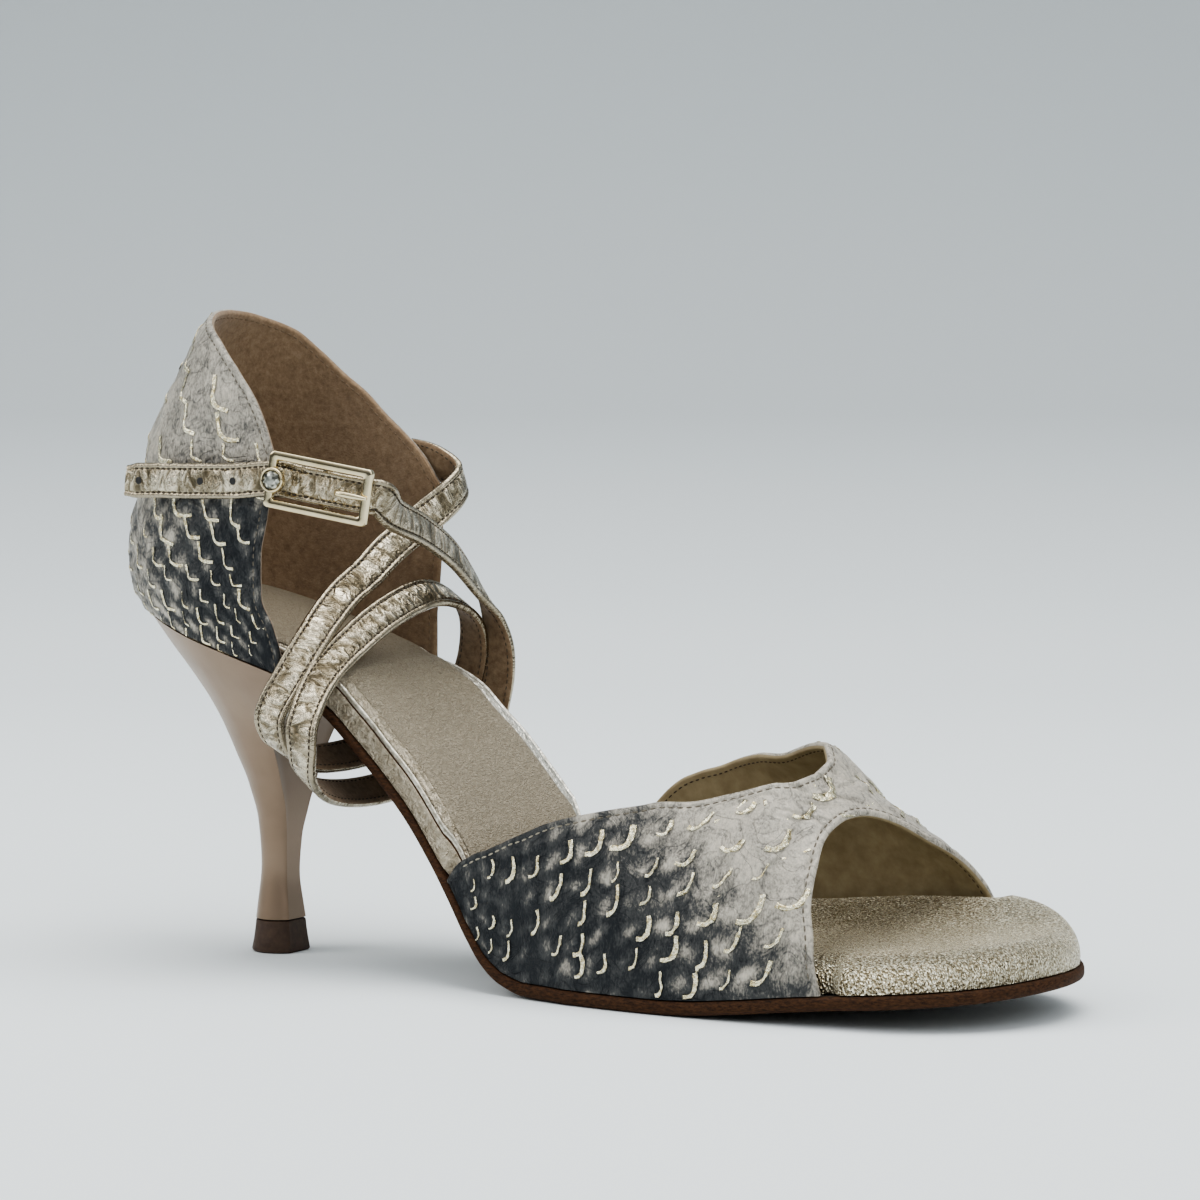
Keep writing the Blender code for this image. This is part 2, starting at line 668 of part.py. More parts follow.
def quarter_point(turn, z, side):
    """Point of the quarter's outer face: share of the way round to its front edge, and height."""
    up = (z - SEAT_HEIGHT) / QUARTER_HEIGHT
    flare = np.clip(up, 0, 1)
    back = at_share(0) - QUARTER_BULGE * quarter_value("behind", flare)
    back = back + QUARTER_LEAN * quarter_value("forward", flare)
    depth = SEAT_RADIUS_SHARE * SOLE_LENGTH * quarter_value("depth", flare)
    seat_half = half_width(at_share(SEAT_RADIUS_SHARE))
    width = seat_half * quarter_value("width", flare)
    column = "lateral" if side < 0 else "medial"
    front = at_share(smooth(FRONT_TABLE, column, up, FRONT_COLUMNS, "up"))
    round_length = 0.5 * math.pi * 0.5 * (depth + width)
    straight = np.maximum(front - (back + depth), 0)
    reach = turn * (round_length + straight)
    angle = np.clip(reach / round_length, 0, 1) * 0.5 * math.pi
    beyond = np.maximum(reach - round_length, 0)
    x = back + depth * (1 - np.cos(angle)) + beyond
    narrowing = half_width(np.maximum(x, at_share(SEAT_RADIUS_SHARE))) / seat_half
    y = middle(x) + side * width * np.sin(angle) * np.where(beyond > 0, narrowing, 1)
    return x, y


def quarter_base(turn, side):
    """Height of the quarter's lower edge, on the heel's rim or on the outsole's edge."""
    z = np.full(np.shape(turn), SEAT_HEIGHT)
    for _ in range(6):
        x, y = quarter_point(turn, z, side)
        z = deck(x, y) + GAP
    return z


def make_quarter(material):
    """Closed counter round the heel, higher at the back than at its front edges."""
    turns = np.linspace(0, 1, 21)
    rows = np.linspace(0, 1, 13)
    halves = []
    for side, column in ((-1, "lateral"), (1, "medial")):
        top = SEAT_HEIGHT + QUARTER_HEIGHT * smooth(TOPLINE_TABLE, column, turns, TOPLINE_COLUMNS, "round")
        base = quarter_base(turns, side)
        z = base[:, None] + (top - base)[:, None] * rows[None, :]
        turn = np.repeat(turns[:, None], len(rows), axis=1)
        x, y = quarter_point(turn, z, side)
        halves.append(np.stack([x, y, z], axis=2))
    outer = np.concatenate([halves[0][::-1], halves[1][1:]])
    inner = thicken(outer, -WALL, True, False)
    return closed_sheet("quarter", outer, inner, material)


def seat_ring(count_back, count_front):
    """Outline of the heel's top: round behind, straight across at its front."""
    shares = BREAST_SHARE * (1 - np.cos(np.linspace(0, 0.5 * math.pi, count_back + 1)))
    x = at_share(shares)
    width = half_width(x)
    lateral = np.stack([x, middle(x) - width], axis=1)
    medial = np.stack([x, middle(x) + width], axis=1)
    across = np.linspace(0, 1, count_front + 2)[1:-1]
    front = lateral[-1] + (medial[-1] - lateral[-1]) * across[:, None]
    return np.concatenate([lateral, front, medial[::-1][:-1]])


def stem_ring(radius, flat, count_back, count_front):
    """Outline of the heel's stem: a circle with a flat front."""
    edge = math.acos(min(flat / radius, 0.98))
    turns = np.linspace(math.pi, 2 * math.pi - edge, count_back + 1)
    lateral = np.stack([radius * np.cos(turns), radius * np.sin(turns)], axis=1)
    medial = lateral * np.array([1, -1])
    across = np.linspace(0, 1, count_front + 2)[1:-1]
    front = lateral[-1] + (medial[-1] - lateral[-1]) * across[:, None]
    return np.concatenate([lateral, front, medial[::-1][:-1]])


def heel_value(column, up):
    """One column of the heel's table."""
    return float(smooth(HEEL_TABLE, column, up, HEEL_COLUMNS, "up"))


def make_heel(material):
    """Stiletto heel: a slim stem that flares up into the seat."""
    count_back = 12
    count_front = 5
    seat = seat_ring(count_back, count_front)
    seat_z = deck(seat[:, 0], seat[:, 1])
    foot_z = CAP_HEIGHT + GAP
    rings = []
    for up in np.linspace(0, 1, 15):
        radius = STEM_RADIUS * heel_value("radius", up)
        stem = stem_ring(radius, STEM_FLAT * radius / STEM_RADIUS, count_back, count_front)
        stem[:, 0] += STEM_CENTRE
        flare = heel_value("flare", up)
        front = heel_value("front", up)
        total = len(stem)
        position = np.arange(total)
        is_front = (position >= count_back - 2) & (position <= count_back + count_front + 3)
        blend = np.where(is_front, front, flare)
        blend = np.convolve(np.concatenate([blend[-2:], blend, blend[:2]]), np.ones(5) / 5, "valid")
        x = stem[:, 0] + (seat[:, 0] - stem[:, 0]) * blend
        y = stem[:, 1] + (seat[:, 1] - stem[:, 1]) * flare
        z = foot_z + (seat_z - foot_z) * up
        rings.append(np.stack([x, y, z], axis=1))
    return loft("heel", rings, material)


def make_heel_cap(material):
    """Top piece under the heel, flared towards the floor."""
    rings = []
    for z, radius in ((0.0, CAP_RADIUS), (CAP_FOOT, CAP_RADIUS), (CAP_HEIGHT, STEM_RADIUS * 1.3)):
        ring = stem_ring(radius, STEM_FLAT / STEM_RADIUS * radius, 12, 5)
        points = np.stack([ring[:, 0] + STEM_CENTRE, ring[:, 1], np.full(len(ring), z)], axis=1)
        rings.append(points)
    return loft("heel_cap", rings, material, 30)


def buckle_frame():
    """Place and turn of the buckle: its own X along the strap, its own Z out of the shoe."""
    along = Vector((math.cos(BUCKLE_PITCH), 0, -math.sin(BUCKLE_PITCH)))
    along.rotate(Matrix.Rotation(BUCKLE_YAW, 3, "Z"))
    out = Vector((0, -1, 0))
    out.rotate(Matrix.Rotation(BUCKLE_YAW, 3, "Z"))
    up = out.cross(along).normalized()
    out = along.cross(up).normalized()
    matrix = Matrix((along, up, out)).transposed().to_4x4()
    along_share, across_share, up_share = BUCKLE_SHARES
    matrix.translation = (float(at_share(along_share)), across_share * BALL_WIDTH, up_share * SEAT_HEIGHT)
    return matrix


def strap_path():
    """Centre line of the strap and the direction its outer face looks."""
    rows = []
    half = 0.5 * STRAP_THICK
    for along, _, up, fx, fy, fz in STRAP_ROOT:
        z = up * SEAT_HEIGHT
        x = float(at_share(along))
        y = quarter_side(x, z, 1) + 2 * GAP + half
        rows.append((Vector((x, y, z)), Vector((fx, fy, fz))))
    for along, across, up, fx, fy, fz in STRAP_WRAP:
        place = Vector((float(at_share(along)), across * BALL_WIDTH, up * SEAT_HEIGHT))
        rows.append((place, Vector((fx, fy, fz))))
    frame = buckle_frame()
    for along, depth, turned in STRAP_IN_BUCKLE:
        local = Vector((along * BUCKLE_LENGTH, 0, -depth * BUCKLE_LENGTH - half))
        rows.append((frame @ local, frame.to_3x3() @ Vector((turned, 0, 1 - turned))))
    for along, _, up in STRAP_TAIL:
        z = up * SEAT_HEIGHT
        x = float(at_share(along))
        y = quarter_widest(z, -1) - 2 * GAP - half
        rows.append((Vector((x, y, z)), Vector((0, -1, 0))))
    return rows


def quarter_side(x, z, side):
    """The quarter's outer face behind the strap's width, at a place along the shoe."""
    turns = np.linspace(0, 1, 60)
    found = []
    for height in (z - 0.5 * STRAP_WIDTH, z, z + 0.5 * STRAP_WIDTH):
        xs, ys = quarter_point(turns, np.full(60, height), side)
        found.append(side * float(np.interp(x, xs, side * ys)))
    return max(found, key=abs)


def quarter_widest(z, side):
    """The quarter's widest place behind the strap's width."""
    turns = np.linspace(0, 1, 60)
    heights = (z - 0.5 * STRAP_WIDTH, z, z + 0.5 * STRAP_WIDTH)
    return side * max((side * quarter_point(turns, np.full(60, h), side)[1]).max() for h in heights)


def along_curve(points, spacing):
    """Even steps along a smooth curve through the points, with their facings."""
    values = np.array([list(p) + list(f.normalized()) for p, f in points])
    out = []
    count = len(values)
    for i in range(count - 1):
        before = values[max(i - 1, 0)]
        start = values[i]
        end = values[i + 1]
        after = values[min(i + 2, count - 1)]
        steps = max(int(np.linalg.norm(end[:3] - start[:3]) / spacing + 0.5), 1)
        for k in range(steps):
            t = k / steps
            out.append(0.5 * (2 * start + (end - before) * t
                              + (2 * before - 5 * start + 4 * end - after) * t * t
                              + (3 * start - before - 3 * end + after) * t ** 3))
    out.append(values[-1])
    return np.array(out)


def ribbon(name, values, width, thick, material):
    """Flat strip along a curve, its outer face turned to the stated directions."""
    tangent = np.gradient(values[:, :3], axis=0)
    tangent /= np.linalg.norm(tangent, axis=1, keepdims=True)
    face = values[:, 3:] - (values[:, 3:] * tangent).sum(axis=1, keepdims=True) * tangent
    face /= np.linalg.norm(face, axis=1, keepdims=True)
    side = np.cross(tangent, face)
    w = 0.5 * width
    t = 0.5 * thick
    rings = []
    for centre, across, out in zip(values[:, :3], side, face):
        rings.append([centre + across * w + out * t, centre - across * w + out * t,
                      centre - across * w - out * t, centre + across * w - out * t])
    return loft(name, rings, material, 30)


def make_strap(material):
    """One long strap: sewn to the quarter, twice round the arch, and through the buckle."""
    values = along_curve(strap_path(), STRAP_STEP)
    strap = ribbon("wrap_strap", values, STRAP_WIDTH, STRAP_THICK, material)
    hole_x = PRONG_HOLE_SHARE * BUCKLE_LENGTH
    cutter = rod("prong_hole", [Vector((hole_x, 0, 0)), Vector((hole_x, 0, -4 * STRAP_THICK))],
                 PRONG_RADIUS + PRONG_PLAY, material, 12)
    cutter.matrix_world = buckle_frame()
    cutter.hide_render = True
    cutter.display_type = "WIRE"
    hole = strap.modifiers.new("prong hole", "BOOLEAN")
    hole.object = cutter
    hole.operation = "DIFFERENCE"
    hole.solver = "EXACT"
    return strap


def rod(name, points, radius, material, sides=8):
    """Round bar through points."""
    rings = []
    for i, point in enumerate(points):
        before = points[max(i - 1, 0)]
        after = points[min(i + 1, len(points) - 1)]
        tangent = (after - before).normalized()
        helper = Vector((0, 1, 0)) if abs(tangent.y) < 0.9 else Vector((1, 0, 0))
        a = tangent.cross(helper).normalized()
        b = tangent.cross(a)
        ring = []
        for k in range(sides):
            angle = 2 * math.pi * k / sides
            ring.append(point + (a * math.cos(angle) + b * math.sin(angle)) * radius)
        rings.append(ring)
    return loft(name, rings, material)


def box(name, low, high, material):
    """Plain block between two corners."""
    ring = [(low[0], low[1]), (high[0], low[1]), (high[0], high[1]), (low[0], high[1])]
    rings = [[(x, y, z) for x, y in ring] for z in (low[2], high[2])]
    return loft(name, rings, material, 30)


def rounded_ring(length, height, corner, count=4):
    """Rounded rectangle in plan, as a ring of points."""
    points = []
    for cx, cy, start in ((1, 1, 0), (-1, 1, 90), (-1, -1, 180), (1, -1, 270)):
        for k in range(count + 1):
            angle = math.radians(start + 90 * k / count)
            x = cx * (0.5 * length - corner) + corner * math.cos(angle)
            y = cy * (0.5 * height - corner) + corner * math.sin(angle)
            points.append((x, y))
    return points


def make_buckle(material):
    """Rectangular frame with rounded corners and a centre bar behind the strap."""
    outer = rounded_ring(BUCKLE_LENGTH, BUCKLE_HEIGHT, BUCKLE_CORNER)
    inner = rounded_ring(BUCKLE_LENGTH - 2 * BUCKLE_BAR, BUCKLE_HEIGHT - 2 * BUCKLE_BAR, BUCKLE_INNER_CORNER)
    half = 0.5 * BUCKLE_THICK
    verts = []
    for ring, z in ((outer, half), (inner, half), (inner, -half), (outer, -half)):
        verts += [(x, y, z) for x, y in ring]
    count = len(outer)
    faces = []
    for k in range(4):
        for i in range(count):
            j = (i + 1) % count
            n = (k + 1) % 4
            faces.append((k * count + i, k * count + j, n * count + j, n * count + i))
    frame = new_object("buckle_frame", verts, faces, material, 30)
    leg = 0.5 * BUCKLE_HEIGHT - BUCKLE_BAR
    back = half + STRAP_THICK + CENTRE_BAR_BEHIND
    end = leg + 0.5 * BUCKLE_BAR
    w = 0.5 * CENTRE_BAR
    pieces = [
        box("leg", (-w, leg + 0.1 * BUCKLE_BAR, -back), (w, leg + 0.75 * BUCKLE_BAR, 0), material),
        box("leg", (-w, -leg - 0.75 * BUCKLE_BAR, -back), (w, -leg - 0.1 * BUCKLE_BAR, 0), material),
        box("bar", (-w, -end, -back - CENTRE_BAR), (w, end, 0.1 * BUCKLE_BAR - back), material),
    ]
    for piece in pieces:
        piece.hide_render = True
        piece.display_type = "WIRE"
        join = frame.modifiers.new("centre bar", "BOOLEAN")
        join.object = piece
        join.operation = "UNION"
        join.solver = "EXACT"
        piece.matrix_world = buckle_frame()
    frame.matrix_world = buckle_frame()
    return frame


def make_prong(material):
    """Prong from the centre bar, out through the strap and over the toe-side bar."""
    half = 0.5 * BUCKLE_THICK
    front = half + PRONG_RADIUS + GAP
    behind = -half - STRAP_THICK - CENTRE_BAR_BEHIND
    hole = PRONG_HOLE_SHARE * BUCKLE_LENGTH
    points = [
        Vector((0.5 * CENTRE_BAR + GAP, 0, behind - 0.5 * CENTRE_BAR)),
        Vector((hole - 2.0 * PRONG_RADIUS, 0, behind - 0.3 * PRONG_RADIUS)),
        Vector((hole - 0.3 * PRONG_RADIUS, 0, behind + 1.7 * PRONG_RADIUS)),
        Vector((hole, 0, -0.5 * STRAP_THICK)),
        Vector((hole + 0.7 * PRONG_RADIUS, 0, 0.3 * STRAP_THICK)),
        Vector((hole + 2.9 * PRONG_RADIUS, 0, front)),
        Vector((0.5 * BUCKLE_LENGTH - 0.1 * BUCKLE_BAR, 0, front)),
    ]
    prong = rod("buckle_prong", points, PRONG_RADIUS, material)
    prong.matrix_world = buckle_frame()
    return prong


def make_stone(bezel_material, stone_material):
    """Round setting on the heel-side bar with a cut stone in it."""
    centre_x = -0.5 * BUCKLE_LENGTH + 0.5 * BUCKLE_BAR + BEZEL_INWARD
    base = 0.5 * BUCKLE_THICK + GAP
    rings = []
    steps = (
        (BEZEL_RADIUS, base),
        (BEZEL_RADIUS, base + 0.7 * BEZEL_HEIGHT),
        (BEZEL_RADIUS - BEZEL_BEVEL, base + BEZEL_HEIGHT),
        (STONE_RADIUS + STONE_PLAY, base + BEZEL_HEIGHT),
        (STONE_RADIUS + STONE_PLAY, base + 0.4 * BEZEL_HEIGHT),
    )
    for radius, z in steps:
        rings.append([(centre_x + radius * math.cos(a), radius * math.sin(a), z)
                      for a in np.linspace(0, 2 * math.pi, 21)[:-1]])
    bezel = loft("stone_bezel", rings, bezel_material, 30)
    rings = []
    low = base + 0.4 * BEZEL_HEIGHT + STONE_PLAY
    steps = (
        (STONE_RADIUS, low),
        (STONE_RADIUS, base + BEZEL_HEIGHT),
        (0.6 * STONE_RADIUS, base + BEZEL_HEIGHT + STONE_PROUD),
    )
    for radius, z in steps:
        rings.append([(centre_x + radius * math.cos(a), radius * math.sin(a), z)
                      for a in np.linspace(0, 2 * math.pi, 9)[:-1]])
    stone = loft("stone", rings, stone_material, 10)
    for piece in (bezel, stone):
        piece.matrix_world = buckle_frame()
    return bezel, stone


def make_tab(material):
    """Short tab from the buckle's centre bar to the inside of the quarter's front edge."""
    frame = buckle_frame()
    behind = 0.5 * BUCKLE_THICK + STRAP_THICK + CENTRE_BAR_BEHIND + CENTRE_BAR + GAP + 0.6 * TAB_THICK
    bar = frame @ Vector((0, 0, -behind))
    z = bar.z
    height_share = (z - SEAT_HEIGHT) / QUARTER_HEIGHT
    edge_x = float(at_share(smooth(FRONT_TABLE, "lateral", height_share, FRONT_COLUMNS, "up")))
    inside = quarter_side(edge_x, z, -1) + WALL + 4 * GAP + 0.5 * TAB_THICK
    face = Vector((0, -1, 0))
    points = [
        (bar + Vector((0.6 * CENTRE_BAR, 0, 0)), face),
        (bar + Vector((-0.7 * TAB_OVERLAP, 0.5 * (inside - bar.y), 0.5 * TAB_THICK)), face),
        (Vector((edge_x + 0.3 * TAB_OVERLAP, inside, z + 0.7 * TAB_THICK)), face),
        (Vector((edge_x - TAB_OVERLAP, inside, z + 0.7 * TAB_THICK)), face),
    ]
    values = along_curve(points, TAB_STEP)
    return ribbon("buckle_tab", values, TAB_WIDTH, TAB_THICK, material)


def build():
    """Every piece of the shoe."""
    for obj in list(bpy.data.objects):
        bpy.data.objects.remove(obj)
    gold = finish("pale gold", (0.80, 0.68, 0.50), 0.22, 1.0)
    foil = finish("champagne foil leather", (0.62, 0.54, 0.45), 0.38, 0.55)
    print_leather = finish("printed leather", (0.36, 0.36, 0.37), 0.45)
    make_outsole(finish("sole leather", (0.27, 0.15, 0.09), 0.6))
    make_footbed(finish("glitter leather", (0.58, 0.53, 0.43), 0.45, 0.4))
    make_sock(finish("sock leather", (0.60, 0.55, 0.47), 0.6))
    make_vamp(print_leather)
    make_quarter(print_leather.copy())
    make_heel(finish("rose champagne", (0.62, 0.49, 0.43), 0.35, 0.6))
    make_heel_cap(finish("cap rubber", (0.16, 0.10, 0.08), 0.6))
    make_strap(foil)
    make_buckle(gold)
    make_prong(gold.copy())
    make_stone(gold.copy(), finish("clear stone", (0.85, 0.85, 0.83), 0.05))
    make_tab(foil.copy())


build()
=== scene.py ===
# %% [markdown]
# This lesson dresses a right ballroom dance sandal: an open-toed printed leather vamp, a high
# heel counter, a long metallic strap with a jewelled buckle, a padded insole and a slim heel.
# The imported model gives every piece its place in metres, with the toe to +X, the wearer's
# medial side to +Y and the floor at Z = 0, so nothing here has to be fitted or moved.

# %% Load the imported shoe
import math

import bmesh
import bpy
import numpy as np
from mathutils import Matrix, Vector
from mathutils import noise as soft_noise
from mathutils.bvhtree import BVHTree


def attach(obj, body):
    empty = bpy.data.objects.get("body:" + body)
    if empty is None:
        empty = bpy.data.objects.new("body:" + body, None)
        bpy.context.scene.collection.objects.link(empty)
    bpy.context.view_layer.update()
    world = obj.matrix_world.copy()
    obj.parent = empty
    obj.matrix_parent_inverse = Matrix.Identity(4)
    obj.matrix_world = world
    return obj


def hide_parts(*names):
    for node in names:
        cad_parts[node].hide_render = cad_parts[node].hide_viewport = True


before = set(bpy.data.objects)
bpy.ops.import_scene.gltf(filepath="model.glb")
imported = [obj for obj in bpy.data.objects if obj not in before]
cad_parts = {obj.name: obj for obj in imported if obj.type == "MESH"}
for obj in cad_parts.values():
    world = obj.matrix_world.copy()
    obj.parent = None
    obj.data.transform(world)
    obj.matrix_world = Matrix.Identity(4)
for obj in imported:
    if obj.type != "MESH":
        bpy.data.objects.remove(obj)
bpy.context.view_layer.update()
MM = 0.001
chance = np.random.default_rng(11)
print("CAD nodes:", ", ".join(sorted(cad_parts)))

# %% [markdown]
# A shoemaker starts from the last: its length, its width at the ball and the height of its
# seat. The tables hold sections of that last as shares of those sizes, so one change of a
# size carries through every piece. A monotone curve joins the rows, because an ordinary
# spline would swing past them where the waist drops steeply.

# %% Sizes of the last and a curve through table rows
SOLE_LENGTH = 232 * MM
BALL_WIDTH = 73 * MM
TREAD_FROM_BACK = 152 * MM
SEAT_HEIGHT = 79 * MM
TOE_SPRING = 7.5 * MM
TOE_ROUND = 0.151 * SOLE_LENGTH
SEAT_ROUND = 0.129 * SOLE_LENGTH
GAP = 0.3 * MM

SOLE_COLUMNS = ("along", "rise", "spring", "lateral", "medial", "bank")
SOLE_ROWS = (
    (0.000, 1.000, 0.00, 0.360, 0.352, 0.0),
    (0.052, 0.967, 0.00, 0.360, 0.352, 0.0),
    (0.095, 0.930, 0.00, 0.362, 0.354, 0.0),
    (0.155, 0.876, 0.00, 0.363, 0.356, 0.0),
    (0.200, 0.834, 0.00, 0.357, 0.352, 0.0),
    (0.233, 0.794, 0.00, 0.346, 0.340, 0.0),
    (0.259, 0.742, 0.00, 0.337, 0.338, 0.0),
    (0.289, 0.655, 0.00, 0.328, 0.362, 0.5),
    (0.317, 0.570, 0.00, 0.323, 0.378, 0.8),
    (0.349, 0.472, 0.00, 0.331, 0.382, 0.8),
    (0.384, 0.347, 0.00, 0.352, 0.384, 0.8),
    (0.410, 0.243, 0.00, 0.373, 0.387, 0.8),
    (0.432, 0.148, 0.00, 0.391, 0.393, 0.8),
    (0.455, 0.070, 0.00, 0.410, 0.402, 0.8),
    (0.478, 0.027, 0.00, 0.427, 0.415, 0.8),
    (0.509, 0.004, 0.00, 0.448, 0.434, 0.9),
    (0.543, 0.002, 0.00, 0.470, 0.455, 0.9),
    (0.560, 0.000, 0.00, 0.479, 0.465, 1.0),
    (0.655, 0.000, 0.00, 0.500, 0.500, 1.0),
    (0.690, 0.000, 0.04, 0.500, 0.508, 1.0),
    (0.741, 0.000, 0.19, 0.495, 0.513, 1.0),
    (0.806, 0.000, 0.42, 0.480, 0.507, 1.0),
    (0.849, 0.000, 0.53, 0.460, 0.500, 1.0),
    (0.897, 0.000, 0.65, 0.458, 0.500, 0.9),
    (0.966, 0.000, 0.82, 0.458, 0.500, 0.7),
    (1.000, 0.000, 0.95, 0.458, 0.500, 0.6),
)


def through(rows, columns, key, wanted, place):
    """One column of a table at a place, on a curve that never swings past its rows."""
    xs = np.array([row[columns.index(key)] for row in rows], float)
    ys = np.array([row[columns.index(wanted)] for row in rows], float)
    steps = np.diff(xs)
    slopes = np.diff(ys) / steps
    lean = np.concatenate([[slopes[0]], np.zeros(len(xs) - 2), [slopes[-1]]])
    for i in range(1, len(xs) - 1):
        before, after = slopes[i - 1], slopes[i]
        if before * after > 0:
            a = 2 * steps[i] + steps[i - 1]
            b = steps[i] + 2 * steps[i - 1]
            lean[i] = (a + b) / (a / before + b / after)
    at = np.clip(np.asarray(place, float), xs[0], xs[-1])
    k = np.clip(np.searchsorted(xs, at, side="right") - 1, 0, len(xs) - 2)
    t = (at - xs[k]) / steps[k]
    start = ys[k] * (1 + 2 * t) * (1 - t) ** 2 + lean[k] * steps[k] * t * (1 - t) ** 2
    return start + ys[k + 1] * t * t * (3 - 2 * t) - lean[k + 1] * steps[k] * t * t * (1 - t)


def ease(value, start, end):
    """0 before start, 1 after end, and a soft step between."""
    t = np.clip((np.asarray(value, float) - start) / (end - start), 0, 1)
    return t * t * (3 - 2 * t)


def at_share(share):
    return np.asarray(share, float) * SOLE_LENGTH - TREAD_FROM_BACK


def share_at(x):
    return (np.asarray(x, float) + TREAD_FROM_BACK) / SOLE_LENGTH


def sole(wanted, x):
    return through(SOLE_ROWS, SOLE_COLUMNS, "along", wanted, share_at(x))


def middle(x):
    return 0.5 * BALL_WIDTH * (sole("medial", x) - sole("lateral", x))


def sole_half(x, side=0.0, seat=0.0, toe=0.0):
    """Half width of a layer that stands inside the sole's outline by the given insets."""
    x = np.asarray(x, float)
    toe_part = np.clip((x - (at_share(1) - TOE_ROUND)) / (TOE_ROUND - toe), 0, 1)
    seat_part = np.clip((at_share(0) + SEAT_ROUND - x) / (SEAT_ROUND - seat), 0, 1)
    full = 0.5 * BALL_WIDTH * (sole("medial", x) + sole("lateral", x)) - side
    return full * np.sqrt(1 - toe_part ** 2) * np.sqrt(1 - seat_part ** 2)


def underside(x):
    return SEAT_HEIGHT * sole("rise", x) + TOE_SPRING * sole("spring", x)


def on_slope(x):
    """How much longer a thickness is when it is measured straight up on the slope."""
    step = 0.5 * MM
    slope = (underside(np.asarray(x) + step) - underside(np.asarray(x) - step)) / (2 * step)
    return np.sqrt(1 + slope ** 2)


def bank(x, y):
    return 3.5 * MM * sole("bank", x) * ease(y, 12 * MM, 0.5 * BALL_WIDTH)


def deck(x, y):
    """Top of the outsole, where the upper and the padded insole stand."""
    thick = (2.0 + 1.0 * ease(share_at(x), 0.40, 0.52)) * MM
    return underside(x) + thick * on_slope(x) + bank(x, y)


print("seat height mm:", round(float(underside(at_share(0))) / MM, 1), "ball width mm:", BALL_WIDTH / MM)

# %% [markdown]
# Most pieces of a shoe are sheets with a real thickness: the upper, the insole, the strap.
# Each is built here as rows of points in code, which keeps its size exact. A grid makes a
# sheet, and a stack of rings makes a closed body. Both put every point in metres at once,
# so each object stays at the origin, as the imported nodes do.

# %% Helpers that turn rows of points into pieces
def in_scene(name, data):
    """One object for some data, linked to the scene."""
    thing = bpy.data.objects.new(name, data)
    bpy.context.scene.collection.objects.link(thing)
    return thing


def mesh_piece(name, points, faces, materials, slots=None, values=None, angle=50):
    """One object from points and faces, with a material number for each face."""
    mesh = bpy.data.meshes.new(name)
    mesh.from_pydata(np.asarray(points, float).tolist(), [], faces)
    for key, data in (values or {}).items():
        layer = mesh.attributes.new(key, "FLOAT", "POINT")
        layer.data.foreach_set("value", np.asarray(data, np.float32).ravel())
    for material in materials:
        mesh.materials.append(material)
    if slots is not None:
        mesh.polygons.foreach_set("material_index", np.asarray(slots, np.int32))
    piece = in_scene(name, mesh)
    work = bmesh.new()
    work.from_mesh(mesh)
    bmesh.ops.remove_doubles(work, verts=work.verts, dist=2e-6)
    if work.calc_volume(signed=True) < 0:
        bmesh.ops.reverse_faces(work, faces=work.faces)
    work.to_mesh(mesh)
    work.free()
    mesh.shade_smooth()
    mesh.set_sharp_from_angle(angle=math.radians(angle))
    return piece


def quads(rows, columns, start=0, closed=False, flip=False):
    """Faces of a grid of points, row by row."""
    faces = []
    wide = columns if closed else columns - 1
    for r in range(rows - 1):
        for c in range(wide):
            d = (c + 1) % columns
            quad = (start + r * columns + c, start + r * columns + d,
                    start + (r + 1) * columns + d, start + (r + 1) * columns + c)
            faces.append(quad[::-1] if flip else quad)
    return faces


def sheet(name, outer, inner, materials, values=None, angle=50):
    """Sheet with a thickness: outer face in material 0, inner face in 1, rim in 2."""
    rows, columns = outer.shape[:2]
    count = rows * columns
    points = np.concatenate([outer.reshape(-1, 3), inner.reshape(-1, 3)])
    faces = quads(rows, columns)
    slots = [0] * len(faces)
    back = quads(rows, columns, count, flip=True)
    rim = list(range(columns)) + [r * columns + columns - 1 for r in range(1, rows)]
    rim += [(rows - 1) * columns + c for c in range(columns - 2, -1, -1)]
    rim += [r * columns for r in range(rows - 2, 0, -1)]
    edge = [(b, a, count + a, count + b) for a, b in zip(rim, rim[1:] + rim[:1])]
    slots += [1] * len(back) + [2] * len(edge)
    data = {k: np.concatenate([v.ravel(), np.zeros(count)]) for k, v in (values or {}).items()}
    return mesh_piece(name, points, faces + back + edge, materials, slots, data, angle)


def stack(name, rings, materials, zones=None, angle=50, caps=True):
    """Closed body through rings of points, one material number for each step."""
    rings = np.asarray(rings, float)
    count, around = rings.shape[:2]
    faces = quads(count, around, closed=True)
    slots = np.repeat(zones if zones is not None else [0] * (count - 1), around).tolist()
    if caps:
        faces.append(tuple(range(around - 1, -1, -1)))
        faces.append(tuple((count - 1) * around + i for i in range(around)))
        slots += [slots[0], slots[-1]]
    return mesh_piece(name, rings.reshape(-1, 3), faces, materials, slots, angle=angle)


def near(points, path):
    """Distance from each point to the nearest point of a dense path."""
    flat = points.reshape(-1, 3)
    best = np.full(len(flat), 1e9)
    for part in np.array_split(path, max(1, len(path) // 40)):
        gap = flat[:, None, :] - part[None, :, :]
        best = np.minimum(best, (gap ** 2).sum(axis=2).min(axis=1))
    return np.sqrt(best).reshape(points.shape[:-1])


def waver(points, scale, salt):
    """Smooth numbers from about -1 to 1, in waves of 1 / scale metres."""
    flat = (points.reshape(-1, 3) * scale + salt * 7.31).tolist()
    return np.array([soft_noise.noise(place) for place in flat]).reshape(points.shape[:-1])


print("helpers ready")

# %% [markdown]
# A finish is a shader tree. These few helpers add a node, link it and hand its output on,
# so each finish below reads as a short recipe: what colours it, what roughens it and what
# raises its grain. Textures read Object coordinates in metres, so a scale of 1000 is a
# grain of about a millimetre.

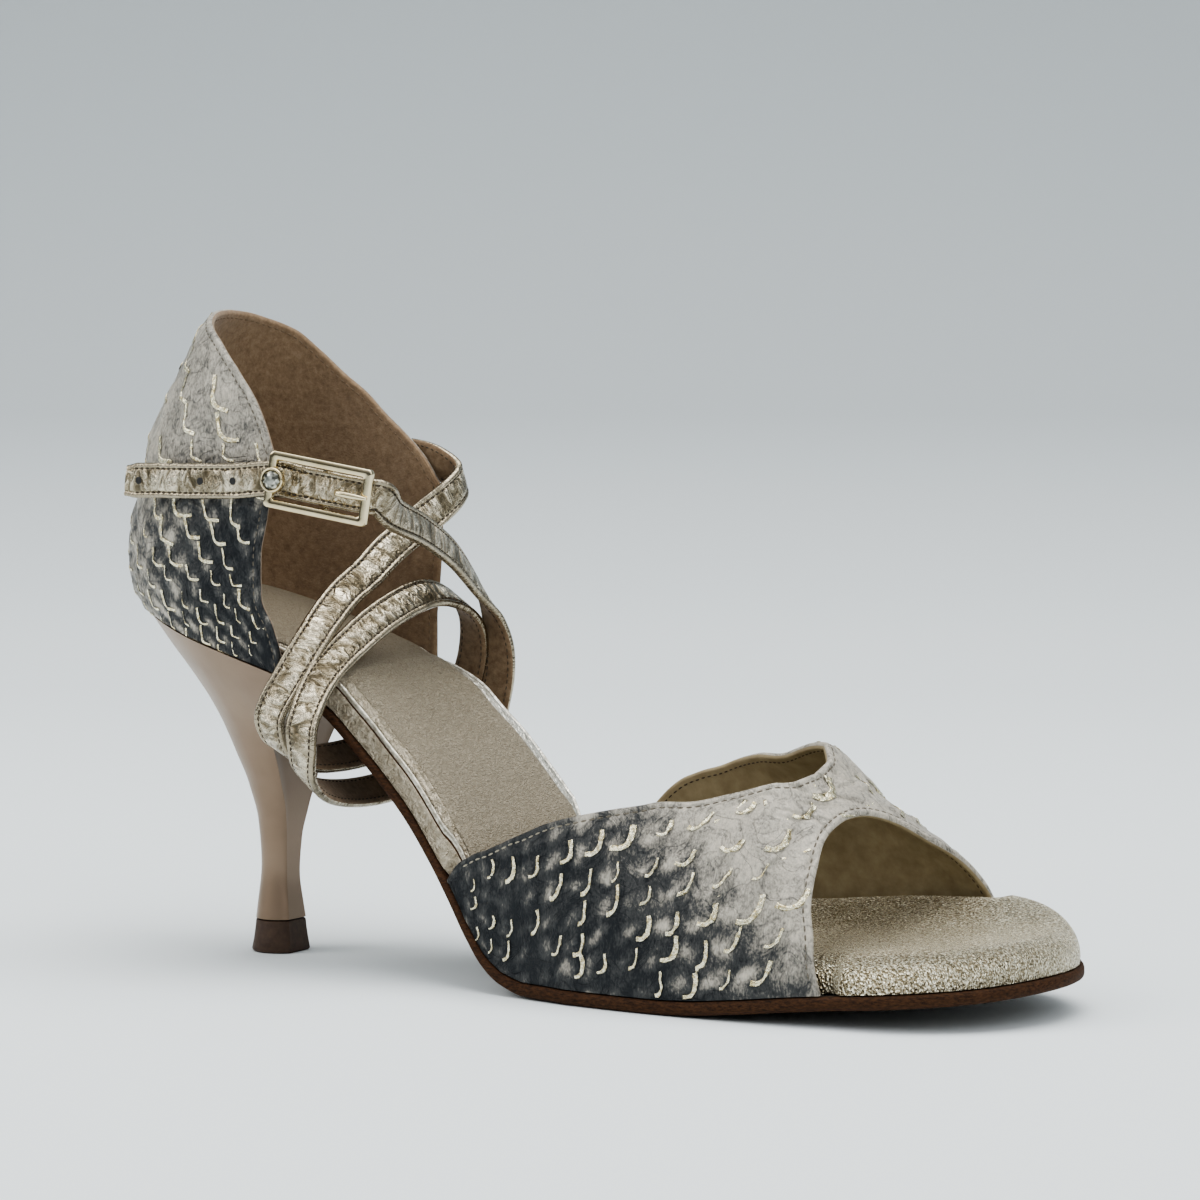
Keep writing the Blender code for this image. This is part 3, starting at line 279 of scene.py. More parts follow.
# %% Helpers for finishes
class Finish:
    """One material that is built up node by node."""

    def __init__(self, name, rough=0.5, metal=0.0, coat=0.0, sheen=0.0):
        self.material = bpy.data.materials.new(name)
        self.material.use_nodes = True
        self.tree = self.material.node_tree
        self.shader = self.tree.nodes["Principled BSDF"]
        self.shader.inputs["Roughness"].default_value = rough
        self.shader.inputs["Metallic"].default_value = metal
        self.shader.inputs["Coat Weight"].default_value = coat
        self.shader.inputs["Coat Roughness"].default_value = 0.25
        self.shader.inputs["Sheen Weight"].default_value = sheen
        self.place = self.add("ShaderNodeTexCoord").outputs["Object"]

    def add(self, kind, inputs=None, **settings):
        node = self.tree.nodes.new(kind)
        for key, value in settings.items():
            setattr(node, key, value)
        for key, value in (inputs or {}).items():
            self.put(node.inputs[key], value)
        return node

    def put(self, socket, value):
        if isinstance(value, bpy.types.NodeSocket):
            self.tree.links.new(value, socket)
        else:
            socket.default_value = value

    def set(self, key, value):
        self.put(self.shader.inputs[key], value)

    def stretch(self, x, y, z, turn=(0, 0, 0), source=None):
        node = self.add("ShaderNodeMapping", {"Vector": source or self.place})
        node.inputs["Scale"].default_value = (x, y, z)
        node.inputs["Rotation"].default_value = turn
        return node.outputs["Vector"]

    def noise(self, scale, detail=3.0, rough=0.55, source=None, bend=0.0):
        node = self.add("ShaderNodeTexNoise", {"Vector": source or self.place, "Scale": scale,
                                               "Detail": detail, "Roughness": rough, "Distortion": bend})
        return node.outputs["Fac"]

    def cells(self, scale, source=None, feature="F1"):
        inputs = {"Vector": source or self.place, "Scale": scale}
        node = self.add("ShaderNodeTexVoronoi", inputs, feature=feature)
        return node.outputs["Distance"]

    def value(self, name):
        return self.add("ShaderNodeAttribute", attribute_name=name).outputs["Fac"]

    def sum(self, a, b, how="ADD", keep=False):
        node = self.add("ShaderNodeMath", operation=how, use_clamp=keep)
        self.put(node.inputs[0], a)
        self.put(node.inputs[1], b)
        return node.outputs[0]

    def between(self, value, low, high, out_low=0.0, out_high=1.0):
        node = self.add("ShaderNodeMapRange", {"Value": value, "From Min": low, "From Max": high,
                                               "To Min": out_low, "To Max": out_high})
        return node.outputs["Result"]

    def ramp(self, value, stops):
        node = self.add("ShaderNodeValToRGB", {"Fac": value})
        marks = node.color_ramp.elements
        while len(marks) < len(stops):
            marks.new(0.5)
        for mark, (where, colour) in zip(marks, stops):
            mark.position = where
            mark.color = (*colour, 1.0)
        return node.outputs["Color"]

    def mix(self, share, a, b):
        node = self.add("ShaderNodeMix", data_type="RGBA")
        self.put(node.inputs["Factor"], share)
        for socket, colour in ((node.inputs[6], a), (node.inputs[7], b)):
            self.put(socket, (*colour, 1.0) if isinstance(colour, tuple) else colour)
        return node.outputs[2]

    def raise_by(self, height, strength, distance, under=None):
        node = self.add("ShaderNodeBump", {"Height": height, "Strength": strength, "Distance": distance})
        if under is not None:
            self.put(node.inputs["Normal"], under)
        self.set("Normal", node.outputs["Normal"])
        return node.outputs["Normal"]


def grained(name, colour_noise, stops, bump_noise=None, strength=0.0, depth=0.0, **shader):
    """A finish with one cloudy colour and one grain, which is all that a plain surface needs."""
    finish = Finish(name, **shader)
    finish.set("Base Color", finish.ramp(finish.noise(*colour_noise), stops))
    if bump_noise:
        finish.raise_by(finish.noise(*bump_noise), strength, depth)
    return finish


print("finish helpers ready")

# %% [markdown]
# The upper's leather carries a reptile-scale print: slate blue low on the flanks, fading to
# a pearly grey on top, with a soft pale spot on each scale. The shader takes the broad tone
# from a number stored on the mesh, because that tone follows the shoe, and adds the hair-fine
# streaks itself. The linings are a smooth olive calf in the vamp and a brown suede in the
# counter.

# %% Finishes of the upper
print_finish = Finish("printed leather", rough=0.5, coat=0.04)
print_finish.set("Specular IOR Level", 0.35)
tone = print_finish.value("tone")
streaks = print_finish.noise(560, 4, 0.7, print_finish.stretch(1.5, 1.5, 0.7))
specks = print_finish.noise(2600, 2, 0.6, print_finish.stretch(1.0, 1.0, 0.45))
cloud = print_finish.noise(130, 3, 0.6)
stain = print_finish.between(streaks, 0.3, 0.7, -0.15, 0.15)
stain = print_finish.sum(stain, print_finish.between(specks, 0.3, 0.7, -0.13, 0.13))
stain = print_finish.sum(stain, print_finish.between(cloud, 0.3, 0.7, -0.10, 0.10))
veins = print_finish.sum(print_finish.noise(120, 3, 0.55, bend=1.4), -0.5)
veins = print_finish.between(print_finish.sum(veins, 0.0, "ABSOLUTE"), 0.0, 0.045, 0.13, 0.0)
shade = print_finish.sum(print_finish.sum(tone, stain), veins, keep=True)
print_finish.set("Base Color", print_finish.ramp(shade, (
    (0.00, (0.55, 0.50, 0.42)), (0.22, (0.40, 0.37, 0.315)), (0.42, (0.21, 0.195, 0.168)),
    (0.62, (0.050, 0.051, 0.050)), (1.00, (0.0035, 0.006, 0.009)))))
print_finish.set("Roughness", print_finish.between(shade, 0.0, 1.0, 0.36, 0.55))
grain = print_finish.raise_by(print_finish.noise(1500, 3, 0.6), 0.5, 0.0002)
grain = print_finish.raise_by(print_finish.sum(veins, -1.0, "MULTIPLY"), 0.6, 0.0025, grain)
print_finish.raise_by(print_finish.noise(330, 3, 0.55, print_finish.stretch(1, 1, 0.6)), 0.7, 0.0009, grain)

vamp_lining = grained("olive calf lining", (240, 4, 0.6), (
    (0.3, (0.25, 0.195, 0.110)), (0.7, (0.375, 0.305, 0.185))), (700, 3, 0.6), 0.3, 0.0003)
counter_lining = grained("brown suede lining", (520, 5, 0.75), (
    (0.3, (0.19, 0.122, 0.070)), (0.55, (0.285, 0.193, 0.115)), (0.75, (0.37, 0.262, 0.168))),
    (900, 4, 0.7), 0.5, 0.0005, rough=0.95, sheen=0.25)
fold_edge = grained("folded leather edge", (500, 3), ((0.3, (0.30, 0.27, 0.23)), (0.7, (0.46, 0.42, 0.36))))
foil = grained("pale gold foil", (1200, 3), (
    (0.35, (0.58, 0.49, 0.28)), (0.6, (0.98, 0.93, 0.72))), (1300, 3), 0.9, 0.0004, rough=0.24, metal=0.85)
print("upper finishes ready")

# %% [markdown]
# The strap is foil-coated kid: a champagne metal film on crinkled leather, with a brown
# suede inside; its crinkles carry painted shade in the creases and painted reflections on the
# ridges. The insole's edge is wrapped in the same foil, its toe in a glitter cloth with a fine
# slanting grain, and a plain beige leather sock lies on it. The sole is brown leather over a
# suede underside darkened as painted shade under the sole, and the heel wears a satin rose
# foil, with painted shade on its front where it falls into the shade of the seat.

# %% Finishes of the strap, the insole, the sole and the heel
strap_foil = Finish("crinkled champagne foil", rough=0.26, metal=0.95)
along_strap, across_strap = strap_foil.value("along"), strap_foil.value("across")
strap_place = strap_foil.add("ShaderNodeCombineXYZ", {"X": along_strap, "Y": across_strap}).outputs[0]
from_middle = strap_foil.sum(across_strap, 0.0, "ABSOLUTE")
channel = strap_foil.between(from_middle, 2.2 * MM, 2.8 * MM, 1.0, 0.12)
across_folds = strap_foil.stretch(1.0, 0.45, 1.0, (0, 0, 0.25), strap_place)
folds = strap_foil.noise(430, 4, 0.55, across_folds, bend=1.1)
patches = strap_foil.between(strap_foil.noise(115, 2, 0.5, strap_place), 0.3, 0.7, -0.09, 0.09)
folds = strap_foil.sum(folds, patches)
fold_height = strap_foil.sum(strap_foil.sum(folds, -0.5), channel, "MULTIPLY")
# The folds' colour is painted light: dark brown in the creases as painted shade, pale on the ridges as
# painted reflection. The broad patches shift this painted light and the relief.
fold_shade_and_glint = strap_foil.ramp(folds, (
    (0.34, (0.125, 0.102, 0.064)), (0.47, (0.31, 0.265, 0.188)), (0.62, (0.68, 0.61, 0.475))))
strap_foil.set("Base Color", strap_foil.mix(channel, (0.36, 0.312, 0.232), fold_shade_and_glint))
strap_foil.set("Roughness", strap_foil.between(folds, 0.35, 0.65, 0.30, 0.19))
broad = strap_foil.raise_by(strap_foil.noise(150, 2, 0.5, strap_place), 0.5, 0.0026)
crinkle = strap_foil.raise_by(fold_height, 0.9, 0.0017, broad)
hair_place = strap_foil.stretch(1.0, 0.5, 1.0, (0, 0, -0.3), strap_place)
hair_folds = strap_foil.cells(900, hair_place, "DISTANCE_TO_EDGE")
strap_foil.raise_by(strap_foil.between(hair_folds, 0.0, 0.10), 0.25, 0.00025, crinkle)

strap_lining = grained("brown strap lining", (600, 4, 0.7), (
    (0.3, (0.15, 0.092, 0.048)), (0.7, (0.29, 0.20, 0.12))), (1300, 3, 0.7), 0.4, 0.0004, rough=0.85,
    sheen=0.15)

glitter = Finish("glitter cloth", rough=0.3, metal=0.85)
slant = glitter.stretch(1.0, 2.6, 1.0, (0, 0, math.radians(38)))
flakes = glitter.cells(1500, slant)
glitter.set("Base Color", glitter.ramp(glitter.noise(1700, 2, 0.7, slant), (
    (0.36, (0.13, 0.102, 0.060)), (0.50, (0.42, 0.355, 0.235)), (0.60, (1.0, 0.95, 0.78)))))
glitter.set("Roughness", glitter.between(glitter.noise(2100, 2), 0.35, 0.65, 0.5, 0.13))
glitter.raise_by(flakes, 1.0, 0.0006)

rim_wrap = grained("insole rim foil", (420, 4, 0.6, None, 1.0), (
    (0.3, (0.28, 0.235, 0.165)), (0.7, (0.58, 0.515, 0.405))),
    (640, 3, 0.6, None, 1.2), 0.9, 0.0010, rough=0.34, metal=0.65)
rim_bead = grained("insole bead foil", (700, 3), (
    (0.35, (0.40, 0.365, 0.29)), (0.6, (0.74, 0.70, 0.60))), (1300, 3), 0.5, 0.0003, rough=0.3, metal=0.85)
strip_foil = grained("insole strip foil", (700, 3), (
    (0.35, (0.58, 0.545, 0.46)), (0.6, (0.92, 0.89, 0.80))),
    (900, 3, 0.55, None, 1.0), 0.8, 0.0006, rough=0.32, metal=0.75)

sock_leather = Finish("beige sock leather", rough=0.5)
pebble = sock_leather.noise(1500, 2, 0.5, sock_leather.stretch(1.0, 0.6, 1.0), bend=1.6)
sock_leather.set("Base Color", sock_leather.ramp(pebble, (
    (0.30, (0.285, 0.238, 0.168)), (0.46, (0.345, 0.294, 0.213)), (0.7, (0.385, 0.332, 0.246)))))
sock_leather.raise_by(pebble, 1.0, 0.0011)

sole_leather = Finish("brown sole edge", rough=0.75)
sole_leather.set("Specular IOR Level", 0.2)
sole_place = sole_leather.stretch(1, 1, 3)
sole_leather.set("Base Color", sole_leather.ramp(sole_leather.noise(900, 4, 0.7, sole_place), (
    (0.32, (0.012, 0.005, 0.002)), (0.66, (0.078, 0.034, 0.014)))))
sole_leather.raise_by(sole_leather.noise(1500, 3, 0.7), 0.4, 0.0003)
black_sole_top_and_hole_shade = grained("black sole top and hole shade", (500, 2),
    ((0.3, (0.006, 0.006, 0.006)), (0.7, (0.02, 0.018, 0.016))))
# The underside is darkened as painted shade under the sole, over the suede's own brown.
suede_in_painted_shade = grained("dance suede underside in painted shade", (300, 5, 0.7), (
    (0.3, (0.045, 0.031, 0.021)), (0.7, (0.085, 0.062, 0.043))),
    (1100, 4, 0.7), 0.5, 0.0004, rough=0.95, sheen=0.2)

heel_satin = grained("rose champagne satin", (60, 3), (
    (0.3, (0.225, 0.158, 0.108)), (0.7, (0.285, 0.206, 0.144))),
    (1600, 2), 0.1, 0.0002, rough=0.38, metal=0.6, coat=0.1)
# The breast is the satin in painted shade: its own colour low down, darkening to brown above 26 mm as
# painted shade from the seat.
heel_breast = Finish("heel breast in painted shade", rough=0.42, metal=0.6, coat=0.1)
breast_up = heel_breast.add("ShaderNodeSeparateXYZ", {"Vector": heel_breast.place}).outputs["Z"]
breast_painted_shade = heel_breast.ramp(heel_breast.noise(60, 3), (
    (0.3, (0.105, 0.070, 0.044)), (0.7, (0.150, 0.103, 0.067))))
breast_share = heel_breast.between(breast_up, 26 * MM, 46 * MM)
heel_breast.set("Base Color", heel_breast.mix(breast_share, (0.235, 0.168, 0.116), breast_painted_shade))
heel_breast.raise_by(heel_breast.noise(1600, 2), 0.1, 0.0002)
cap_rubber = grained("dark top piece", (700, 4), (
    (0.3, (0.042, 0.020, 0.010)), (0.7, (0.068, 0.036, 0.019))), (1200, 3), 0.25, 0.0003, rough=0.6)

gold = grained("polished pale gold", (150, 2), (
    (0.3, (0.62, 0.52, 0.32)), (0.7, (0.78, 0.68, 0.47))), (700, 2), 0.05, 0.0002, rough=0.11, metal=1.0)
stone_glass = grained("clear cut stone", (900, 1), (
    (0.35, (0.10, 0.10, 0.085)), (0.65, (0.62, 0.61, 0.54))), rough=0.02, metal=0.85)
dark_thread = Finish("dark thread", rough=0.8)
dark_place = dark_thread.add("ShaderNodeSeparateXYZ", {"Vector": dark_thread.place}).outputs["X"]
dark_ahead = dark_thread.between(dark_place, -0.040, -0.018)
dark_behind = dark_thread.between(dark_place, -0.085, -0.075, 1.0, 0.0)
dark_share = dark_thread.sum(dark_ahead, dark_behind, keep=True)
dark_part = dark_thread.ramp(dark_thread.noise(3000, 2), (
    (0.3, (0.085, 0.074, 0.056)), (0.7, (0.21, 0.185, 0.145))))
dark_thread.set("Base Color", dark_thread.mix(dark_share, (0.36, 0.325, 0.25), dark_part))
brown_thread = grained("brown thread", (3000, 2), (
    (0.3, (0.035, 0.025, 0.015)), (0.7, (0.10, 0.078, 0.052))), rough=0.8)
lining_thread = grained("lining thread", (3000, 2), (
    (0.3, (0.15, 0.10, 0.06)), (0.7, (0.24, 0.17, 0.105))), rough=0.8)
print("finishes made:", len([m for m in bpy.data.materials if m.users or m.use_nodes]))

# %% [markdown]
# The vamp is one sheet bent over the forefoot. A row of it runs from the throat edge to the
# toe edge at one angle over the foot, from 0 at the lateral sole edge to 180 at the medial
# one. The rows lie closer together at both edges, where the leather folds over, so the fold
# is round there.

# %% Shape of the vamp
RIDGE_ROWS = (
    (0.400, 2.05), (0.496, 1.85), (0.553, 1.58), (0.591, 1.40), (0.631, 1.23), (0.679, 1.115),
    (0.703, 1.105), (0.741, 1.075), (0.757, 0.990), (0.770, 0.897), (0.784, 0.838), (0.801, 0.768),
    (0.829, 0.660), (0.850, 0.567), (0.871, 0.455), (0.900, 0.360),
)
THROAT_ROWS = (
    (0.0, 0.406), (5.2, 0.421), (12.9, 0.450), (18.0, 0.476), (21.1, 0.497), (27.2, 0.539),
    (34.5, 0.584), (38.1, 0.603), (41.9, 0.621), (44.8, 0.634), (50.5, 0.671), (56.8, 0.724),
    (61.5, 0.746), (68.0, 0.755), (79.0, 0.760), (90.0, 0.757), (97.0, 0.745), (106.0, 0.711),
    (125.5, 0.641), (143.5, 0.581), (153.0, 0.531), (160.5, 0.498), (180.0, 0.425),
)
TOE_EDGE_ROWS = (
    (0.0, 0.825), (11.7, 0.817), (21.0, 0.813), (31.5, 0.805), (45.8, 0.800), (58.5, 0.796),
    (68.5, 0.798), (82.0, 0.805), (92.0, 0.815), (110.0, 0.838), (121.0, 0.844), (129.0, 0.849),
    (140.4, 0.856), (149.0, 0.862), (180.0, 0.869),
)
VAMP_HEIGHT = 48 * MM
WALL = 1.7 * MM


def vamp_face(angle, x):
    """Point of the vamp's outer face at an angle over the foot and a place along the shoe."""
    high = VAMP_HEIGHT * through(RIDGE_ROWS, ("along", "height"), "along", "height", share_at(x))
    y = middle(x) - sole_half(x) * np.cos(angle)
    return np.stack([x, y, deck(x, y) + GAP + high * np.sin(angle)], axis=-1)


def edges_closer(count, share):
    """Even steps from 0 to 1, drawn towards both ends by a share."""
    t = np.linspace(0, 1, count)
    return (1 - share) * t + share * (0.5 - 0.5 * np.cos(math.pi * t))


def outward(grid):
    """Unit normals of a grid of points."""
    normal = np.cross(np.gradient(grid, axis=0), np.gradient(grid, axis=1))
    return normal / np.maximum(np.linalg.norm(normal, axis=2, keepdims=True), 1e-12)


turns = np.concatenate([np.linspace(0, 20, 18)[:-1], np.linspace(20, 160, 214),
    np.linspace(160, 180, 18)[1:]])
rear = at_share(through(THROAT_ROWS, ("turn", "along"), "turn", "along", turns))
front = at_share(through(TOE_EDGE_ROWS, ("turn", "along"), "turn", "along", turns))
steps = edges_closer(160, 0.72)
vamp_x = rear[:, None] + (front - rear)[:, None] * steps[None, :]
vamp_turn = np.repeat(np.radians(turns)[:, None], len(steps), axis=1)
vamp_outer = vamp_face(vamp_turn, vamp_x)
vamp_normal = -outward(vamp_outer)
vamp_normal[[0, -1], :, 2] = 0
vamp_normal /= np.linalg.norm(vamp_normal, axis=2, keepdims=True)
throat_gap = near(vamp_outer, vamp_outer[:, 0])
toe_gap = near(vamp_outer, vamp_outer[:, -1])
hem_gap = np.minimum(throat_gap, toe_gap)
print("vamp grid:", vamp_outer.shape[:2], "normal up at the ridge:",
    round(float(vamp_normal[125, 80, 2]), 2))

# %% [markdown]
# The print's scales grow from the waist to the toe and to the ridge, as they do on a hide.
# A logarithm of the distance from a focus behind the shoe gives that growth: equal steps of
# the logarithm are cells that widen evenly. Each cell then knows its own place, so the pale
# spot, the raised shingle and the gold tick of one scale stay together.

# %% A growing net of scales
def scale_net(along, up, focus, first, turn):
    """Place in the net, in cells, and the cell's size there, for a net that grows from a focus."""
    z = (along - focus[0]) + 1j * (up - focus[1])
    reach = abs(complex(*focus))
    grown = np.log(z / reach) * reach / first * np.exp(-1j * turn)
    e1 = 0.92 + 0j
    e2 = 1.06 * np.exp(-1j * math.radians(69))
    det = e1.real * e2.imag - e1.imag * e2.real
    a = (grown.real * e2.imag - grown.imag * e2.real) / det
    b = (e1.real * grown.imag - e1.imag * grown.real) / det
    return a, b, first * np.abs(z) / reach


def cell_chance(i, j, salt):
    """A steady random number for each cell."""
    mixed = np.sin(i * 12.9898 + j * 78.233 + salt * 37.719) * 43758.5453
    return mixed - np.floor(mixed)


def scale_marks(a, b, salt):
    """Pale spot and shingle height in each cell."""
    i, j = np.floor(a), np.floor(b)
    fa, fb = a - i, b - j
    luck = cell_chance(i, j, salt)
    spot = np.exp(-(((fa - 0.42 - 0.1 * (luck - 0.5)) / 0.33) ** 2 + ((fb - 0.42) / 0.31) ** 2) ** 1.3)
    shingle = fb ** 1.6 * np.clip(np.sin(math.pi * fa), 0, 1) ** 0.6 * (1 - ease(fb, 0.86, 1.0))
    return spot * (0.55 + 0.45 * luck), shingle


def flank_length(angle, x):
    """Length over the leather from the nearer sole edge, along one section of the foot."""
    high = VAMP_HEIGHT * through(RIDGE_ROWS, ("along", "height"), "along", "height", share_at(x))
    wide = sole_half(x)
    reach = np.minimum(angle, math.pi - angle)
    total, before = np.zeros_like(x), (wide, 0 * x)
    for t in np.linspace(0, 1, 25)[1:]:
        now = (wide * np.cos(reach * t), high * np.sin(reach * t))
        total += np.hypot(now[0] - before[0], now[1] - before[1])
        before = now
    return total


vamp_up, vamp_near = flank_length(vamp_turn, vamp_x), vamp_turn < 0.5 * math.pi
VAMP_FOCUS = (-78 * MM, -78 * MM)
net_a, net_b, net_size = scale_net(vamp_x + 52 * MM, vamp_up, VAMP_FOCUS, 5.3 * MM, math.radians(45))
net_a = net_a + 0.30 * waver(vamp_outer, 210, 1)
net_b = net_b + 0.30 * waver(vamp_outer, 210, 2)
net = (net_a, net_b, net_size)
spot, shingle = scale_marks(net_a, net_b, 1)
print("scale sizes in mm:", round(float(net_size.min()) / MM, 1), "to",
    round(float(net_size.max()) / MM, 1))

# %% [markdown]
# The broad tone is drawn by rule: dark below a slanting line from the throat to the toe
# edge, pale above it. The folded hem is painted a little lighter, a painted highlight on its
# roll, and has a groove where it is stitched. The same numbers push the leather out into
# shallow shingles. A few long creases cross the ridge where the leather is pulled over the
# toes, and these are given one by one.

# %% Tone and relief of the vamp
CREASE_ROWS = (
    (0.772, 72, 0.800, 88, 0.30), (0.765, 62, 0.793, 76, 0.26), (0.760, 98, 0.800, 116, 0.22),
    (0.752, 52, 0.790, 64, 0.20), (0.750, 80, 0.785, 97, 0.24), (0.700, 48, 0.770, 58, 0.14),
    (0.735, 104, 0.790, 124, 0.20), (0.790, 40, 0.797, 50, 0.18), (0.745, 70, 0.775, 84, 0.26),
    (0.742, 58, 0.772, 70, 0.18),
)
SEAM_IN = 1.6 * MM
ROUND = 0.80 * MM


def hem_highlight_share(gap):
    """1 on the folded hem at an edge, where a painted highlight pales the print, 0 further in."""
    return 1 - ease(gap, 0.7 * MM, 1.8 * MM)


def hem_height(gap):
    """The hem's soft roll, and the groove that the stitches pull into it."""
    roll = np.exp(-((gap - 0.8 * MM) / (0.5 * MM)) ** 2)
    return 0.10 * MM * roll - 0.16 * MM * np.exp(-((gap - SEAM_IN) / (0.35 * MM)) ** 2)


def two_faces(outer, normal, lift, gap):
    """Outer and inner face of a leather wall with rounded edges."""
    edge_in = np.clip(ROUND - gap, 0, ROUND)
    rolled = ROUND - np.sqrt(ROUND ** 2 - edge_in ** 2)
    return outer + normal * (lift - rolled)[..., None], outer - normal * (WALL - rolled)[..., None]


def creases(points, rows):
    """Depth of soft grooves between listed ends on the vamp."""
    depth = np.zeros(points.shape[:2])
    for share_a, turn_a, share_b, turn_b, deep in rows:
        t = np.linspace(0, 1, 40)
        bow = 1.4 * np.sin(math.pi * t)
        path = vamp_face(np.radians(turn_a + (turn_b - turn_a) * t + bow),
            at_share(share_a + (share_b - share_a) * t))
        fade = np.sin(math.pi * np.clip(t, 0.02, 0.98)) ** 0.5
        for point, soft in zip(path, fade):
            gap = np.linalg.norm(points - point, axis=2)
            depth = np.maximum(depth, 2.6 * deep * MM * soft * np.exp(-(gap / (0.6 * MM)) ** 2))
    return depth


pale_line = 0.62 * (vamp_outer[..., 0] + 11 * MM) + 0.785 * (vamp_outer[..., 2] - 45 * MM)
vamp_tone = 0.17 + 0.80 * (1 - ease(pale_line, -25 * MM, 13 * MM))
vamp_tone += 0.10 * waver(vamp_outer, 120, 4)
vamp_tone -= 0.54 * spot * ease(vamp_tone, 0.25, 0.7)
vamp_tone -= 0.10 * spot
vamp_tone += 0.16 * (1 - ease(np.abs(pale_line + 2 * MM), 2 * MM, 10 * MM)) * (1 - spot)
# The hem is painted a little paler, a painted highlight on its roll.
vamp_tone = np.clip(vamp_tone * (1 - 0.15 * hem_highlight_share(hem_gap)), 0, 1)
inside_hem = ease(hem_gap, 2.6 * MM, 5 * MM)
base_gap = np.minimum(vamp_up, 9)
lift = 0.60 * MM * shingle * inside_hem * (net_size / (6.5 * MM)) * ease(base_gap, 1 * MM, 4 * MM)
lift += 0.16 * MM * waver(vamp_outer, 330, 3) * inside_hem
lift += hem_height(hem_gap) - creases(vamp_outer, CREASE_ROWS)
vamp_skin, vamp_back = two_faces(vamp_outer, vamp_normal, lift, hem_gap)
vamp_finishes = [print_finish.material, vamp_lining.material, fold_edge.material]
vamp = sheet("vamp_leather", vamp_skin, vamp_back, vamp_finishes, {"tone": vamp_tone})
print("vamp faces:", len(vamp.data.polygons))

# %% [markdown]
# The counter is a second sheet, wrapped round the heel from one front edge to the other. A
# row runs up from the sole to the topline. It is widest a little above the seat, and its top
# leans forward as the last does, to hold the heel.

# %% Shape of the heel counter
QUARTER_HEIGHT = 72 * MM
QUARTER_COLUMNS = ("up", "behind", "forward", "width", "depth")
QUARTER_ROWS = (
    (0.00, 0.00, 0.000, 0.985, 1.00), (0.06, 0.62, 0.000, 1.005, 1.04),
    (0.16, 1.07, 0.000, 1.025, 1.08), (0.26, 1.02, 0.000, 1.030, 1.08),
    (0.38, 0.65, 0.000, 1.020, 1.06), (0.52, 0.24, 0.010, 0.985, 1.01),
    (0.64, 0.22, 0.200, 0.950, 0.96), (0.74, 0.15, 0.400, 0.915, 0.91),
    (0.84, 0.08, 0.600, 0.870, 0.86), (0.92, 0.00, 0.770, 0.825, 0.82),
    (1.00, 0.00, 1.020, 0.780, 0.79),
)
TOPLINE_ROWS = (
    (0.00, 1.000, 1.000), (0.12, 0.997, 0.993), (0.25, 0.987, 0.972), (0.39, 0.965, 0.934),
    (0.51, 0.935, 0.864), (0.61, 0.903, 0.794), (0.73, 0.840, 0.719), (0.81, 0.785, 0.649),
    (0.89, 0.718, 0.584), (0.95, 0.640, 0.515), (1.00, 0.543, 0.420),
)
FRONT_ROWS = (
    (-0.20, 0.214, 0.260), (-0.10, 0.210, 0.260), (0.00, 0.200, 0.260), (0.08, 0.190, 0.261),
    (0.22, 0.191, 0.263), (0.34, 0.198, 0.264), (0.50, 0.203, 0.262), (0.70, 0.203, 0.258),
    (1.00, 0.203, 0.255),
)


def counter_face(turn, z, side):
    """Point of the counter: share of the way from its back to its front edge, and a height."""
    up = (z - SEAT_HEIGHT) / QUARTER_HEIGHT
    low_up = np.clip(up, 0, 1)
    part = {k: through(QUARTER_ROWS, QUARTER_COLUMNS, "up", k, low_up) for k in QUARTER_COLUMNS[1:]}
    back = at_share(0) - 5.5 * MM * part["behind"] + 17.5 * MM * part["forward"]
    depth = SEAT_ROUND * part["depth"]
    seat_half = sole_half(at_share(0) + SEAT_ROUND)
    width = seat_half * part["width"]
    column = "lateral" if side < 0 else "medial"
    front = at_share(through(FRONT_ROWS, ("up", "lateral", "medial"), "up", column, up))
    bend = 0.25 * math.pi * (depth + width)
    reach = turn * (bend + np.maximum(front - (back + depth), 0))
    angle = np.clip(reach / bend, 0, 1) * 0.5 * math.pi
    beyond = np.maximum(reach - bend, 0)
    x = back + depth * (1 - np.cos(angle)) + beyond
    narrow = sole_half(np.maximum(x, at_share(0) + SEAT_ROUND)) / seat_half
    return x, middle(x) + side * width * np.sin(angle) * np.where(beyond > 0, narrow, 1)


def counter_half(side, column, around, upward):
    columns = ("turn", "lateral", "medial")
    top = SEAT_HEIGHT + QUARTER_HEIGHT * through(TOPLINE_ROWS, columns, "turn", column, around)
    base = np.full(len(around), SEAT_HEIGHT)
    for _ in range(6):
        x, y = counter_face(around, base, side)
        base = deck(x, y) + GAP
    z = base[:, None] + (top - base)[:, None] * upward[None, :]
    x, y = counter_face(np.repeat(around[:, None], len(upward), axis=1), z, side)
    return np.stack([x, y, z], axis=2)


around = np.sin(np.linspace(0, 1, 135) * math.pi / 2)
around = 0.55 * np.linspace(0, 1, 135) + 0.45 * around
upward = edges_closer(130, 0.6)
lateral_half = counter_half(-1, "lateral", around, upward)
medial_half = counter_half(1, "medial", around, upward)
counter_outer = np.concatenate([lateral_half[::-1], medial_half[1:]])
counter_normal = -outward(counter_outer)
counter_normal[:, 0, 2] = 0
counter_normal /= np.linalg.norm(counter_normal, axis=2, keepdims=True)
counter_edge = np.concatenate([counter_outer[0], counter_outer[:, -1], counter_outer[-1][::-1]])
counter_gap = near(counter_outer, counter_edge)
round_steps = np.linalg.norm(np.diff(counter_outer, axis=0), axis=2)
round_way = np.concatenate([np.zeros((1, len(upward))), np.cumsum(round_steps, axis=0)])
round_way = round_way - round_way[len(around) - 1]
print("counter grid:", counter_outer.shape[:2], "back normal:", np.round(counter_normal[134, 60], 2))

# %% [markdown]
# The counter wears the same print, from a second net that spreads from the low front edges
# to the back. It is dark low down and at the front, and pale at the back and on top. Its hem,
# its seam groove and its shingles are made as the vamp's are.

